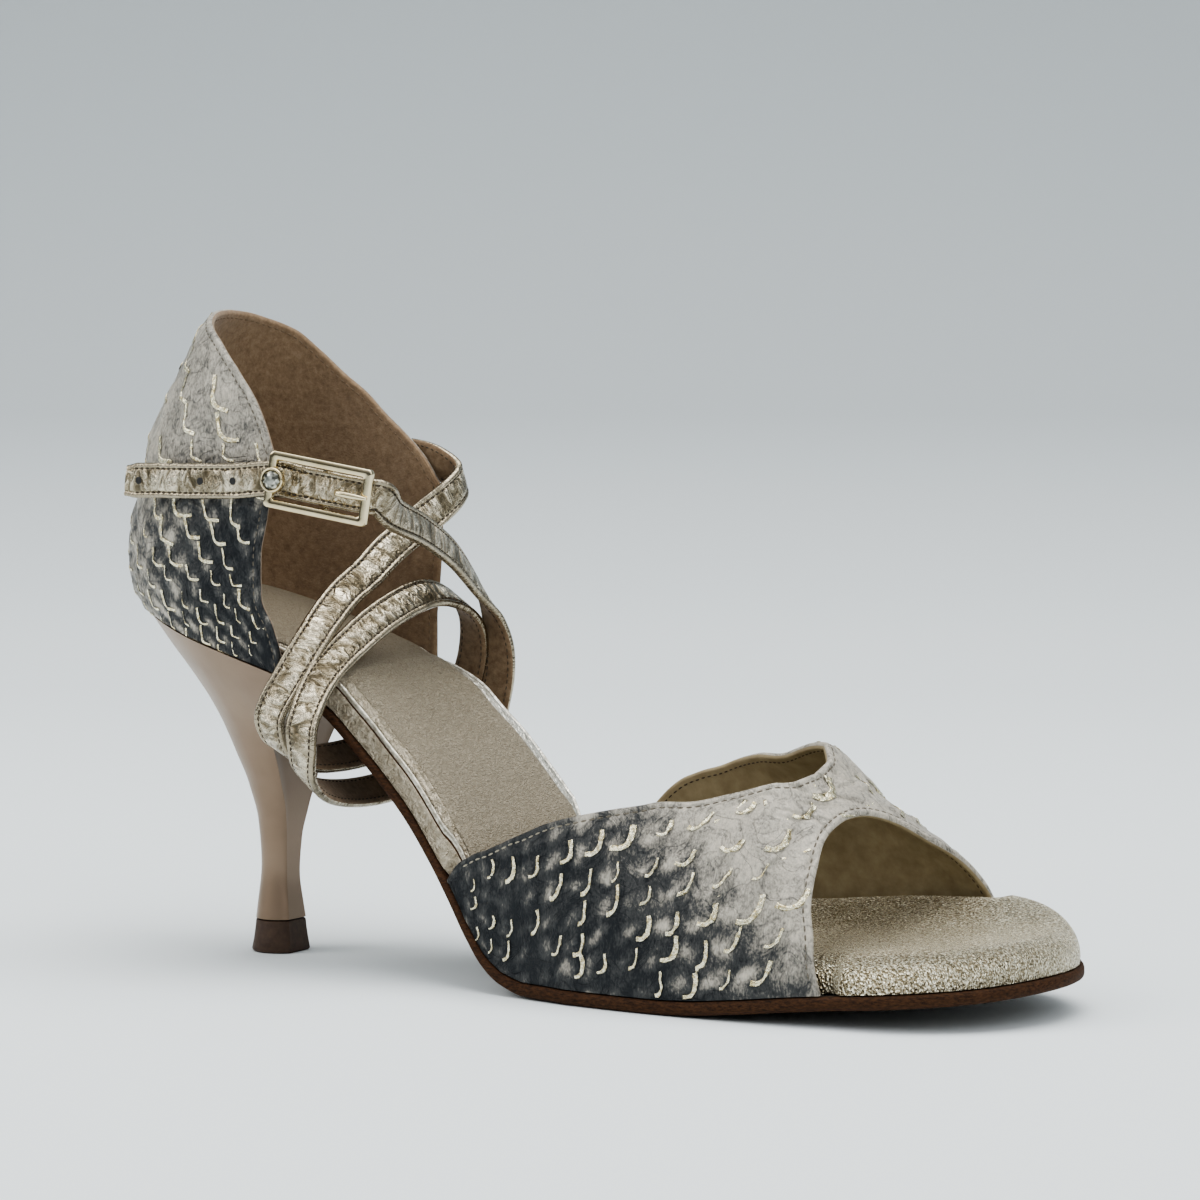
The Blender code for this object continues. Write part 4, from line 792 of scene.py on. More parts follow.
# %% Tone and relief of the counter
counter_up = counter_outer[..., 2] - 70 * MM
COUNTER_FOCUS = (-25 * MM, -62 * MM)
from_front = 58 * MM - np.abs(round_way)
counter_net = scale_net(from_front, counter_up, COUNTER_FOCUS, 4.5 * MM, math.radians(52))
counter_net = (counter_net[0] + 0.22 * waver(counter_outer, 210, 6),
               counter_net[1] + 0.22 * waver(counter_outer, 210, 7), counter_net[2])
counter_spot, counter_shingle = scale_marks(counter_net[0], counter_net[1], 5)
forward_share = np.abs(round_way) / np.abs(round_way).max()
low = 1 - ease(counter_outer[..., 2], 100 * MM, 122 * MM)
fore = ease(forward_share, 0.22, 0.72)
counter_tone = 0.27 + 0.17 * low + 0.50 * low * fore + 0.08 * waver(counter_outer, 110, 8)
under_strap = 1 - ease(counter_outer[..., 2], 118 * MM, 136 * MM)
counter_tone += 0.34 * ease(forward_share, 0.72, 0.96) * under_strap * (1 - low)
counter_tone -= 0.56 * counter_spot * ease(counter_tone, 0.25, 0.7) + 0.07 * counter_spot
# The counter's hem is painted a little paler too, a painted highlight on its roll.
counter_tone = np.clip(counter_tone * (1 - 0.15 * hem_highlight_share(counter_gap)), 0, 1)
inside_hem = ease(counter_gap, 2.6 * MM, 5 * MM)
counter_lift = 0.70 * MM * counter_shingle * inside_hem * ease(counter_up, 3 * MM, 12 * MM)
counter_lift += 0.16 * MM * waver(counter_outer, 300, 9) * inside_hem + hem_height(counter_gap)
counter_skin, counter_back = two_faces(counter_outer, counter_normal, counter_lift, counter_gap)
counter_finishes = [print_finish.material, counter_lining.material, counter_lining.material]
counter = sheet("counter_leather", counter_skin, counter_back, counter_finishes, {"tone": counter_tone})
print("counter faces:", len(counter.data.polygons))

# %% [markdown]
# Each scale carries a raised tick of gold foil along its lower edge. Hundreds of the same
# small form on a curved surface are a task for Geometry Nodes: a seed point stands where
# each tick belongs, with its normal, its upward direction and its size, and the tree puts
# one curved stroke on each. The stroke is a short bezier, swept with a round profile that
# thins to both ends.

# %% A tree that puts foil ticks on seed points
def tree_with(name, inputs):
    tree = bpy.data.node_groups.new(name, "GeometryNodeTree")
    tree.interface.new_socket("Geometry", in_out="INPUT", socket_type="NodeSocketGeometry")
    ids = {}
    for label, kind, value in inputs:
        socket = tree.interface.new_socket(label, in_out="INPUT", socket_type=kind)
        if value is not None:
            socket.default_value = value
        ids[label] = socket.identifier
    tree.interface.new_socket("Geometry", in_out="OUTPUT", socket_type="NodeSocketGeometry")
    return tree, ids


def wire(tree, kind, inputs=None, **settings):
    node = tree.nodes.new(kind)
    for key, value in settings.items():
        setattr(node, key, value)
    for key, value in (inputs or {}).items():
        if isinstance(value, bpy.types.NodeSocket):
            tree.links.new(value, node.inputs[key])
        else:
            node.inputs[key].default_value = value
    return node


def grow(name, seeds, tree, ids, inputs):
    """Runs a tree on seeds and keeps the result as a plain mesh."""
    modifier = seeds.modifiers.new("grow", "NODES")
    modifier.node_group = tree
    for label, value in inputs.items():
        modifier[ids[label]] = value
    ready = bpy.context.evaluated_depsgraph_get()
    mesh = bpy.data.meshes.new_from_object(seeds.evaluated_get(ready))
    mesh.name = name
    work = bmesh.new()
    work.from_mesh(mesh)
    bmesh.ops.recalc_face_normals(work, faces=work.faces)
    work.to_mesh(mesh)
    work.free()
    bpy.data.objects.remove(seeds)
    piece = in_scene(name, mesh)
    mesh.shade_smooth()
    return piece


tick_tree, tick_ids = tree_with("foil ticks", [
    ("Thickness", "NodeSocketFloat", 0.104), ("Flatness", "NodeSocketFloat", 0.5),
    ("Top", "NodeSocketVector", (0.04, 0.60, 0)), ("Upper bend", "NodeSocketVector", (0.26, 0.05, 0)),
    ("Lower bend", "NodeSocketVector", (0.26, -0.50, 0)),
    ("Foot", "NodeSocketVector", (-0.34, -0.60, 0)), ("Foil", "NodeSocketMaterial", None)])
given = wire(tick_tree, "NodeGroupInput")
stroke = wire(tick_tree, "GeometryNodeCurvePrimitiveBezierSegment", {
    "Resolution": 11, "Start": given.outputs["Top"], "Start Handle": given.outputs["Upper bend"],
    "End Handle": given.outputs["Lower bend"], "End": given.outputs["Foot"]})
way = wire(tick_tree, "GeometryNodeSplineParameter")
thin = wire(tick_tree, "ShaderNodeMath", {0: way.outputs["Factor"], 1: math.pi}, operation="MULTIPLY")
thin = wire(tick_tree, "ShaderNodeMath", {0: thin.outputs[0]}, operation="SINE")
thin = wire(tick_tree, "ShaderNodeMath", {0: thin.outputs[0], 1: 1.2}, operation="POWER")
thin = wire(tick_tree, "ShaderNodeMath", {0: thin.outputs[0], 1: 0.10}, operation="ADD")
tapered = wire(tick_tree, "GeometryNodeSetCurveRadius",
    {"Curve": stroke.outputs["Curve"], "Radius": thin.outputs[0]})
profile = wire(tick_tree, "GeometryNodeCurvePrimitiveCircle",
    {"Resolution": 6, "Radius": given.outputs["Thickness"]})
profile_out = profile.outputs["Curve"]
body = wire(tick_tree, "GeometryNodeCurveToMesh",
    {"Curve": tapered.outputs["Curve"], "Profile Curve": profile_out, "Fill Caps": True})
squash = wire(tick_tree, "ShaderNodeCombineXYZ", {"X": 1.0, "Y": 1.0, "Z": given.outputs["Flatness"]})
flat = wire(tick_tree, "GeometryNodeTransform",
    {"Geometry": body.outputs["Mesh"], "Scale": squash.outputs[0]})
face_at = wire(tick_tree, "GeometryNodeInputNamedAttribute", {"Name": "facing"}, data_type="FLOAT_VECTOR")
up_at = wire(tick_tree, "GeometryNodeInputNamedAttribute", {"Name": "upward"}, data_type="FLOAT_VECTOR")
size_at = wire(tick_tree, "GeometryNodeInputNamedAttribute", {"Name": "size"}, data_type="FLOAT_VECTOR")
stand = wire(tick_tree, "FunctionNodeAlignRotationToVector", {"Vector": face_at.outputs["Attribute"]},
    axis="Z")
lean = wire(tick_tree, "FunctionNodeAlignRotationToVector",
    {"Rotation": stand.outputs[0], "Vector": up_at.outputs["Attribute"]},
            axis="Y", pivot_axis="Z")
seeds_as_points = wire(tick_tree, "GeometryNodeMeshToPoints", {"Mesh": given.outputs["Geometry"]})
placed = wire(tick_tree, "GeometryNodeInstanceOnPoints", {
    "Points": seeds_as_points.outputs[0], "Instance": flat.outputs[0], "Rotation": lean.outputs[0],
    "Scale": size_at.outputs["Attribute"]})
real = wire(tick_tree, "GeometryNodeRealizeInstances", {"Geometry": placed.outputs[0]})
coloured = wire(tick_tree, "GeometryNodeSetMaterial",
    {"Geometry": real.outputs[0], "Material": given.outputs["Foil"]})
wire(tick_tree, "NodeGroupOutput", {"Geometry": coloured.outputs[0]})
print("tick tree nodes:", len(tick_tree.nodes))

# %% [markdown]
# The seeds come from the same net as the spots: one for each cell, at the foot of its
# shingle. The stroke leans further over towards the ridge and grows with its scale. A few
# scales lost their foil, so some seeds are left out by a steady chance.

# %% Seeds for the ticks
def seed_points(name, points, facing, upward_to, sizes):
    """Loose points that carry the three directions and sizes that the tick tree reads."""
    mesh = bpy.data.meshes.new(name)
    mesh.from_pydata([tuple(p) for p in points], [], [])
    for key, data in (("facing", facing), ("upward", upward_to), ("size", sizes)):
        layer = mesh.attributes.new(key, "FLOAT_VECTOR", "POINT")
        layer.data.foreach_set("vector", np.array(data, np.float32).ravel())
    return in_scene(name, mesh)


def tick_seeds(name, skin, normal, net_now, up_way, gap, lean_at, keep, grow_by):
    """Seed points with their directions, one for each cell of the net."""
    a, b, size = net_now
    i, j = np.floor(a).astype(int), np.floor(b).astype(int)
    miss = np.hypot(a - i - 0.5, b - j - 0.86)
    seen = {}
    order = np.argsort(miss, axis=None)
    for flat_index in order[: int(0.25 * order.size)]:
        r, c = np.unravel_index(flat_index, miss.shape)
        key = (i[r, c], j[r, c], up_way[r, c])
        if key not in seen and miss[r, c] < 0.09:
            seen[key] = (r, c)
    points, facing, upward_to, sizes = [], [], [], []
    steps_r, steps_c = np.gradient(skin, axis=0), np.gradient(skin, axis=1)
    for (ci, cj, flank), (r, c) in sorted(seen.items()):
        s = size[r, c] * grow_by * chance.uniform(0.62, 1.15)
        if gap[r, c] < max(2.2 * MM, 0.5 * s) or chance.random() > keep:
            continue
        out = normal[r, c]
        up_dir = np.array([0, 0, 1.0]) - out * out[2]
        if abs(out[2]) > 0.8:
            up_dir = steps_r[r, c] * (1 if flank else -1)
        up_dir = up_dir / np.linalg.norm(up_dir)
        side_dir = np.cross(up_dir, out)
        turn = math.radians(lean_at[r, c] + chance.uniform(-11, 11))
        handed = 1.0 if side_dir[0] > 0 else -1.0
        up_dir = up_dir * math.cos(turn) + side_dir * handed * math.sin(turn)
        points.append(skin[r, c])
        facing.append(out)
        upward_to.append(up_dir)
        sizes.append((handed * s * chance.uniform(0.65, 1.25), s, s * chance.uniform(0.7, 1.2)))
    return seed_points(name, points, facing, upward_to, sizes)


def press_on(ticks, leather):
    """Lays every point of the ticks on the leather, so the foil follows its curve."""
    tree = BVHTree.FromPolygons([v.co for v in leather.data.vertices],
        [p.vertices[:] for p in leather.data.polygons])
    for vertex in ticks.data.vertices:
        vertex.co += soft_noise.noise_vector(vertex.co * 620) * 0.28 * MM
        place, normal, _, _ = tree.find_nearest(vertex.co)
        height = (vertex.co - place).dot(normal)
        vertex.co = place + normal * min(max(height, -0.12 * MM), 0.22 * MM)
    ticks.data.update()


lean_vamp = 4 + 40 * ease(pale_line, -16 * MM, 14 * MM)
from_ridge = np.abs(vamp_turn - 0.5 * math.pi) * 30 * MM - 2.5 * MM
vamp_gap = np.minimum(hem_gap, np.minimum(vamp_up + 1.0 * MM, from_ridge))
vamp_seeds = tick_seeds("vamp seeds", vamp_skin, vamp_normal, net, vamp_near, vamp_gap, lean_vamp, 0.96,
    0.66)
print("vamp ticks:", len(vamp_seeds.data.vertices))
vamp_ticks = grow("vamp_ticks", vamp_seeds, tick_tree, tick_ids, {"Foil": foil.material})
press_on(vamp_ticks, vamp)

# %% [markdown]
# Near the ridge the leather is pulled over the toes, and the foil there lies in a few long
# strokes. They follow no net, so a short table gives both ends of each, as a share of the
# sole's length and a turn over the foot. The same tree draws them, with a straighter curve.

# %% Long strokes near the ridge
STREAK_ROWS = (
    (0.739, 51.5, 0.765, 73.5), (0.697, 44.5, 0.721, 52.0), (0.746, 39.5, 0.762, 53.2),
    (0.743, 28.2, 0.760, 40.2), (0.713, 23.2, 0.725, 30.5), (0.795, 71.0, 0.799, 91.8),
    (0.769, 41.5, 0.789, 50.0),
)


def streak_seeds(rows):
    """Seed points for long strokes between two places on the vamp, given as shares and turns."""
    points, facing, upward_to, sizes = [], [], [], []
    for share_a, turn_a, share_b, turn_b in rows:
        start, end = vamp_face(np.radians(np.array([turn_a, turn_b])),
            at_share(np.array([share_a, share_b])))
        middle_point = 0.5 * (start + end)
        away = np.linalg.norm(vamp_outer - middle_point, axis=2)
        length = np.linalg.norm(end - start)
        points.append(middle_point)
        facing.append(vamp_normal[np.unravel_index(np.argmin(away), away.shape)])
        upward_to.append((end - start) / length)
        sizes.append((0.8 * length, length, 0.6 * length))
    return seed_points("streak seeds", points, facing, upward_to, sizes)


vamp_streaks = grow("vamp_streaks", streak_seeds(STREAK_ROWS), tick_tree, tick_ids, {
    "Foil": foil.material, "Thickness": 0.060, "Top": (0.0, 0.5, 0), "Upper bend": (0.10, 0.22, 0),
    "Lower bend": (0.10, -0.2, 0), "Foot": (0.0, -0.5, 0)})
press_on(vamp_streaks, vamp)
print("long strokes:", len(STREAK_ROWS))

# %% Ticks on the counter
lean_counter = np.full(counter_up.shape, -4.0)
counter_way = round_way < 0
counter_seed_gap = np.minimum(counter_gap, counter_up)
counter_seeds = tick_seeds("counter seeds", counter_skin, counter_normal, counter_net, counter_way,
                           counter_seed_gap, lean_counter, 0.94, 0.66)
print("counter ticks:", len(counter_seeds.data.vertices))
counter_ticks = grow("counter_ticks", counter_seeds, tick_tree, tick_ids, {
    "Foil": foil.material, "Thickness": 0.094, "Top": (-0.30, 0.62, 0), "Upper bend": (-0.30, -0.50, 0),
    "Lower bend": (-0.24, -0.50, 0), "Foot": (0.52, -0.62, 0)})
press_on(counter_ticks, counter)

# %% [markdown]
# A stitched seam is a row of short threads that follow an edge. The seam's path is a line
# of the sheet at a set distance from its edge. A second tree walks that path in even steps
# and lays one small thread across each step, so the same tree sews every seam here.

# %% A tree that sews along a path
sew_tree, sew_ids = tree_with("stitches", [
    ("Pitch", "NodeSocketFloat", 1.7 * MM), ("Length", "NodeSocketFloat", 1.15 * MM),
    ("Width", "NodeSocketFloat", 0.36 * MM), ("Thread", "NodeSocketMaterial", None)])
given = wire(sew_tree, "NodeGroupInput")
path = wire(sew_tree, "GeometryNodeMeshToCurve", {"Mesh": given.outputs["Geometry"]})
walk = wire(sew_tree, "GeometryNodeCurveToPoints",
    {"Curve": path.outputs[0], "Length": given.outputs["Pitch"]}, mode="LENGTH")
aim = wire(sew_tree, "FunctionNodeAlignRotationToVector", {"Vector": walk.outputs["Tangent"]}, axis="X")
bead = wire(sew_tree, "GeometryNodeMeshUVSphere", {"Segments": 8, "Rings": 6, "Radius": 0.5})
shape = wire(sew_tree, "ShaderNodeCombineXYZ", {
    "X": given.outputs["Length"], "Y": given.outputs["Width"], "Z": given.outputs["Width"]})
sewn = wire(sew_tree, "GeometryNodeInstanceOnPoints", {
    "Points": walk.outputs["Points"], "Instance": bead.outputs["Mesh"], "Rotation": aim.outputs[0],
    "Scale": shape.outputs[0]})
real = wire(sew_tree, "GeometryNodeRealizeInstances", {"Geometry": sewn.outputs[0]})
coloured = wire(sew_tree, "GeometryNodeSetMaterial",
    {"Geometry": real.outputs[0], "Material": given.outputs["Thread"]})
wire(sew_tree, "NodeGroupOutput", {"Geometry": coloured.outputs[0]})


def sew(name, path_points, thread, pitch=1.7 * MM, length=1.15 * MM, width=0.36 * MM):
    """One sewn seam along a line of points, or along several."""
    lines = path_points if isinstance(path_points, list) else [path_points]
    points, links = [], []
    for line in lines:
        first = len(points)
        points += [tuple(p) for p in line]
        links += [(first + k, first + k + 1) for k in range(len(line) - 1)]
    mesh = bpy.data.meshes.new(name + " path")
    mesh.from_pydata(points, links, [])
    holder = in_scene(name + " path", mesh)
    return grow(name, holder, sew_tree, sew_ids,
        {"Pitch": pitch, "Length": length, "Width": width, "Thread": thread.material})


def line_at(grid, gap, distance, axis, from_end=False):
    """For each row of a grid, the point at one distance from an edge."""
    rows = grid if axis == 0 else np.swapaxes(grid, 0, 1)
    gaps = gap if axis == 0 else gap.T
    found = []
    for row, far in zip(rows, gaps):
        if from_end:
            row, far = row[::-1], far[::-1]
        half = max(int(0.5 * len(far)), 2)
        if far[:half].max() > distance:
            k = int(np.argmax(far[:half] > distance))
            t = (distance - far[k - 1]) / max(far[k] - far[k - 1], 1e-9)
            found.append(row[k - 1] + (row[k] - row[k - 1]) * t)
    return np.array(found)


sewn_pieces = []
for label, gap, from_end in (("throat", throat_gap, False), ("toe", toe_gap, True)):
    outside = line_at(vamp_skin, gap, SEAM_IN, 0, from_end)[6:-6]
    inside = line_at(vamp_back, gap, SEAM_IN, 0, from_end)[6:-6]
    sewn_pieces.append(sew(f"vamp_{label}_seam", outside, dark_thread, 2.0 * MM, 1.45 * MM, 0.42 * MM))
    sewn_pieces.append(sew(f"vamp_{label}_lining_seam", inside, brown_thread))
top_gap = near(counter_outer, counter_outer[:, -1])
lateral_gap = near(counter_outer, counter_outer[0])
medial_gap = near(counter_outer, counter_outer[-1])
COUNTER_SEAMS = (("counter", counter_skin, dark_thread), ("counter_lining", counter_back, lining_thread))
for label, skin, thread in COUNTER_SEAMS:
    top_line = line_at(skin, top_gap, SEAM_IN, 0, True)[7:-7]
    lateral_line = line_at(skin, lateral_gap, SEAM_IN, 1)
    medial_line = line_at(skin, medial_gap, SEAM_IN, 1, True)
    lateral_line = lateral_line[lateral_line[:, 2] < top_line[0, 2]]
    medial_line = medial_line[medial_line[:, 2] < top_line[-1, 2]]
    whole = np.concatenate([lateral_line[2:], top_line, medial_line[::-1][:-2]])
    sewn_pieces.append(sew(f"{label}_seam", whole, thread))
print("seams:", len(sewn_pieces))

# %% [markdown]
# The layers under the foot all follow the sole's outline. Each is a stack of rings: the
# outline is drawn again and again, a little further in and a little higher each time, so
# the side wall, a bead or a rolled edge is simply the path of the rings. Inside, the rings
# close up on the centre line.

# %% Rings that follow the sole's outline
def outline_ring(side=(0.0, 0.0), seat=0.0, toe=0.0, squeeze=1.0, cut=None, fine=110):
    """One ring: lateral edge from heel to toe, then medial edge back."""
    low = float(at_share(0) + SEAT_ROUND)
    high = float(at_share(1) - TOE_ROUND)
    turn = np.linspace(0, math.pi / 2, 22)
    ahead = high + (TOE_ROUND - toe) * np.sin(turn)
    if cut is None:
        behind = low - (SEAT_ROUND - seat) * np.sin(turn[::-1])
        x = np.concatenate([behind[:-1], np.linspace(low, high, fine)[:-1], ahead])
    else:
        x = np.concatenate([np.linspace(cut, high, fine)[:-1], ahead])
    insets = [s(x) if callable(s) else s for s in side]
    lateral = middle(x) - sole_half(x, insets[0], seat, toe) * squeeze
    medial = middle(x) + sole_half(x, insets[1], seat, toe) * squeeze
    return np.concatenate([np.stack([x, lateral], 1), np.stack([x, medial], 1)[::-1]])


# %% [markdown]
# The padded insole shows two edges. In the waist its side is wrapped in foil leather up to
# a seam, and a bright round bead runs above it, next to a narrow strip that meets the sock.
# In the open toe the glitter cloth simply rolls over the edge. Each ring blends from one
# profile to the other under the vamp, where the change can't be seen.

# %% The padded insole
WAIST_PROFILE = (
    (0.0, 0.0), (0.0, 1.5), (0.0, 3.0), (0.04, 4.3), (0.22, 4.5), (0.28, 4.55), (0.14, 4.75),
    (0.14, 5.1), (0.26, 5.4), (0.48, 5.6), (0.74, 5.6), (0.94, 5.4), (1.10, 5.1), (1.50, 5.0),
    (1.75, 5.4), (2.1, 5.8), (3.0, 6.0), (4.6, 6.2), (7.2, 6.5), (9.0, 6.5),
)
MEDIAL_LIFTS = (0.0, 0.0, 0.0, 0.0, 0.0, 0.0, 0.05, 0.1, 0.2, 0.3, 0.4, 0.5, 0.6, 0.6, 0.5, 0.35, 0.2,
    0.1, 0.0, 0.0)
TOE_PROFILE = (
    (0.0, 0.0), (-0.05, 0.8), (-0.1, 1.6), (-0.05, 2.3), (0.05, 3.0), (0.2, 3.6), (0.45, 4.25),
    (0.75, 4.8), (1.1, 5.3), (1.5, 5.75), (1.95, 6.15), (2.45, 6.5), (3.0, 6.85), (3.6, 7.15),
    (4.2, 7.4), (4.9, 7.6), (5.6, 7.75), (6.5, 7.9), (7.7, 8.0), (9.0, 8.0),
)
# Finish of each waist step: the foil wrap, the dark sole leather as the seam under the bead, the bead, the
# dark sole leather again in the groove beside the sock as painted shade, and the foil wrap up to the sock.
ZONES = (1, 1, 1, 3, 3, 2, 2, 2, 2, 2, 3, 3, 3, 1, 1, 1, 1, 1, 1)


def waist_open(x, medial):
    """1 in the bare waist between the counter and the vamp, 0 under them."""
    behind, ahead = (0.262, 0.425) if medial else (0.204, 0.409)
    start, end = float(at_share(behind)) + 1.2 * MM, float(at_share(ahead))
    return ease(x, start, start + 7 * MM) * (1 - ease(x, end - 3.0 * MM, end))


def hem_inset(medial, x):
    """Inset of the insole: inside the wall of the upper, and out to the edge in the open toe and waist."""
    edge = float(at_share(0.869 if medial else 0.825)) + 0.8 * MM
    tucked = 2.3 * MM + 1.4 * MM * ease(x, 0.3 * edge, 0.9 * edge) - 1.9 * MM * waist_open(x, medial)
    return tucked + (0.2 * MM - tucked) * ease(x, edge, edge + 4 * MM)


def toe_blend(x):
    return ease(share_at(x), 0.44, 0.60)


def insole_ring(index, squeeze=1.0):
    waist, toe = WAIST_PROFILE[index], TOE_PROFILE[index]

    def inset(medial):
        return lambda x: hem_inset(medial, x) + ((1 - toe_blend(x)) * waist[0] + toe_blend(x) * toe[0]) * MM

    ring = outline_ring((inset(False), inset(True)), 2.3 * MM + waist[0] * MM, 0.2 * MM + toe[0] * MM,
        squeeze)
    x, y = ring[:, 0], ring[:, 1]
    share = toe_blend(x)
    height = ((1 - share) * waist[1] + share * toe[1]) * MM
    rise = 3.5 * MM * sole("bank", x) * ease(y, 0, 0.45 * BALL_WIDTH) * ease(index, 2, 12)
    medial_lift = (1 - share) * MEDIAL_LIFTS[index] * MM * ease(y - middle(x), 0, 14 * MM)
    return np.stack([x, y, deck(x, y) + (GAP + height + medial_lift) * on_slope(x) + rise], axis=1)


last = len(WAIST_PROFILE) - 1
insole_rings = [insole_ring(0, s) for s in (0.0, 0.5)] + [insole_ring(k) for k in range(last + 1)]
insole_rings += [insole_ring(last, s) for s in (0.85, 0.68, 0.5, 0.34, 0.17, 0.0)]
insole_zones = [1, 1] + list(ZONES) + [1] * 6
insole_finishes = [f.material for f in (glitter, rim_wrap, rim_bead, sole_leather, strip_foil)]
insole = stack("insole", insole_rings, insole_finishes, insole_zones, caps=False)
centres = np.array([face.center[:] for face in insole.data.polygons])
STRIP_UP, STRIP_OUT = 4.9 * MM, 12 * MM
above = centres[:, 2] - deck(centres[:, 0], centres[:, 1]) - STRIP_UP * on_slope(centres[:, 0])
on_strip = (centres[:, 1] - middle(centres[:, 0]) > STRIP_OUT) & (above > 0)
for face, strip in zip(insole.data.polygons, on_strip):
    if face.center.x > 0:
        face.material_index = insole_finishes.index(glitter.material)
    elif strip:
        face.material_index = insole_finishes.index(strip_foil.material)
print("insole faces:", len(insole.data.polygons))

# %% [markdown]
# The sock is a thin leather that hides the insole's folded edges. It needs no shape of its
# own: each of its rings lies on the insole's top, read from the same profiles, and its edge
# thins to nothing. On the medial side it stops a little short, and leaves the bright strip.

# %% The sock on the insole
def insole_top(x, y, edge):
    """Height of the insole at a distance from its edge in the waist."""
    table = np.array(WAIST_PROFILE[8:]) * MM
    toe_table = np.array(TOE_PROFILE) * MM
    share = toe_blend(x)
    waist = np.interp(edge, table[:, 0], table[:, 1])
    ball = np.interp(edge, toe_table[:, 0], toe_table[:, 1])
    rise = 3.5 * MM * sole("bank", x) * ease(y, 0, 0.45 * BALL_WIDTH)
    lift_steps = np.array(MEDIAL_LIFTS[8:]) * MM
    waist = waist + np.interp(edge, table[:, 0], lift_steps) * ease(y - middle(x), 0, 14 * MM)
    return deck(x, y) + (GAP + (1 - share) * waist + share * ball) * on_slope(x) + rise


SOCK_STEPS = ((2.3, 0.1), (2.2, 0.2), (2.25, 0.35), (2.45, 0.48), (2.9, 0.56), (3.8, 0.6))
SOCK_END = float(at_share(0.66))
MEDIAL_STRIP = 0.7 * MM


def sock_ring(inset, height, squeeze=1.0):
    """The sock's outline is the insole's, cut square under the vamp."""
    ring = outline_ring((2.3 * MM + inset, 2.3 * MM + inset), 2.3 * MM + inset, 0.0, squeeze)
    x = np.minimum(ring[:, 0], SOCK_END - 0.4 * inset)
    half = sole_half(x, 2.3 * MM + inset, 2.3 * MM + inset)
    side = np.sign(np.arange(len(x)) - 0.5 * (len(x) - 1))
    wider = np.where(side > 0, MEDIAL_STRIP * ease(x, at_share(0.15), at_share(0.32)), 0)
    y = middle(x) + side * (half - wider) * squeeze
    edge = inset + wider + (1 - squeeze) * (half - wider)
    return np.stack([x, y, insole_top(x, y, edge) + height * on_slope(x)], axis=1)


sock_rings = [sock_ring(3.8 * MM, 0.1 * MM, 0.0)] + [sock_ring(a * MM, b * MM) for a, b in SOCK_STEPS]
sock_rings += [sock_ring(3.8 * MM, 0.6 * MM, s) for s in (0.85, 0.68, 0.5, 0.34, 0.17, 0.0)]
sock = stack("sock_lining", sock_rings, [sock_leather.material], caps=False)
print("sock faces:", len(sock.data.polygons))

# %% [markdown]
# The outsole's edge is what the eye reads as the shoe's line along the floor: a rough brown
# edge that stands a little proud of the upper, over a suede underside. It ends square against
# the heel's front.

# %% The outsole
BREAST = float(at_share(0.207)) + GAP
SOLE_STEPS = (
    (3.0, 0.0, 0), (1.0, 0.0, 0), (0.2, 0.05, 1), (-0.35, 0.3, 1), (-0.7, 0.7, 1), (-0.8, 1.3, 1),
    (-0.8, 1.9, 1), (-0.7, 2.4, 1), (-0.5, 2.7, 1), (-0.35, 2.8, 1), (-0.15, 2.95, 1), (0.15, 3.0, 1),
    (2.0, 3.0, 1),
)


def sole_ring(inset, height, squeeze=1.0):
    ring = outline_ring((inset, inset), inset, inset, squeeze, BREAST, 130)
    x, y = ring[:, 0], ring[:, 1]
    low = underside(x) + bank(x, y)
    return np.stack([x, y, low + (deck(x, y) - low) * height / 3.0], axis=1)


sole_rings = [sole_ring(3.0 * MM, 0.0, s) for s in (0.0, 0.3, 0.6, 0.8)]
sole_rings += [sole_ring(a * MM, b) for a, b, _ in SOLE_STEPS]
sole_rings += [sole_ring(2.0 * MM, 3.0, s) for s in (0.6, 0.3, 0.0)]
sole_zones = [0] * 4 + [zone for _, _, zone in SOLE_STEPS][1:] + [2] * 3
sole_finishes = [f.material for f in (suede_in_painted_shade, sole_leather, black_sole_top_and_hole_shade)]
outsole = stack("outsole_leather", sole_rings, sole_finishes, sole_zones, caps=False)
print("outsole faces:", len(outsole.data.polygons))

# %% [markdown]
# The heel is a slim stem that flares up to the seat. Its back is round and its front, the
# breast, is nearly flat, and the two meet at a crisp line down each side. The rings run
# from the stem's outline to the seat's, and one share decides how far each has flared.

# %% The heel and its top piece
HEEL_ROWS = (
    (0.00, 0.00, 0.00, 1.30), (0.04, 0.00, 0.00, 1.22), (0.18, 0.00, 0.00, 1.00),
    (0.32, 0.01, 0.00, 1.10), (0.44, 0.06, 0.00, 1.32), (0.55, 0.17, 0.00, 1.45),
    (0.64, 0.28, 0.02, 1.50), (0.72, 0.41, 0.06, 1.50), (0.81, 0.59, 0.18, 1.50),
    (0.90, 0.79, 0.48, 1.50), (1.00, 1.00, 1.00, 1.50),
)
STEM_X = -120.6 * MM
CAP_HEIGHT = 7.5 * MM
ROUND_POINTS, FLAT_POINTS = 40, 17


def heel_part(name, up):
    return float(through(HEEL_ROWS, ("up", "flare", "front", "radius"), "up", name, up))


def closed_outline(side, front_points):
    """A lateral half outline, a straight front and the mirrored half."""
    mirrored = side[::-1].copy()
    mirrored[:, 1] = front_points[1] + (front_points[1] - side[::-1, 1])
    t = np.linspace(0, 1, FLAT_POINTS + 2)[1:-1, None]
    return np.concatenate([side, side[-1] + (mirrored[0] - side[-1]) * t, mirrored[:-1]])


def seat_outline():
    shares = 0.207 * (1 - np.cos(np.linspace(0, math.pi / 2, ROUND_POINTS + 1)))
    x = at_share(shares)
    lateral = np.stack([x, middle(x) - sole_half(x)], 1)
    medial = np.stack([x, middle(x) + sole_half(x)], 1)
    t = np.linspace(0, 1, FLAT_POINTS + 2)[1:-1, None]
    return np.concatenate([lateral, lateral[-1] + (medial[-1] - lateral[-1]) * t, medial[::-1][:-1]])


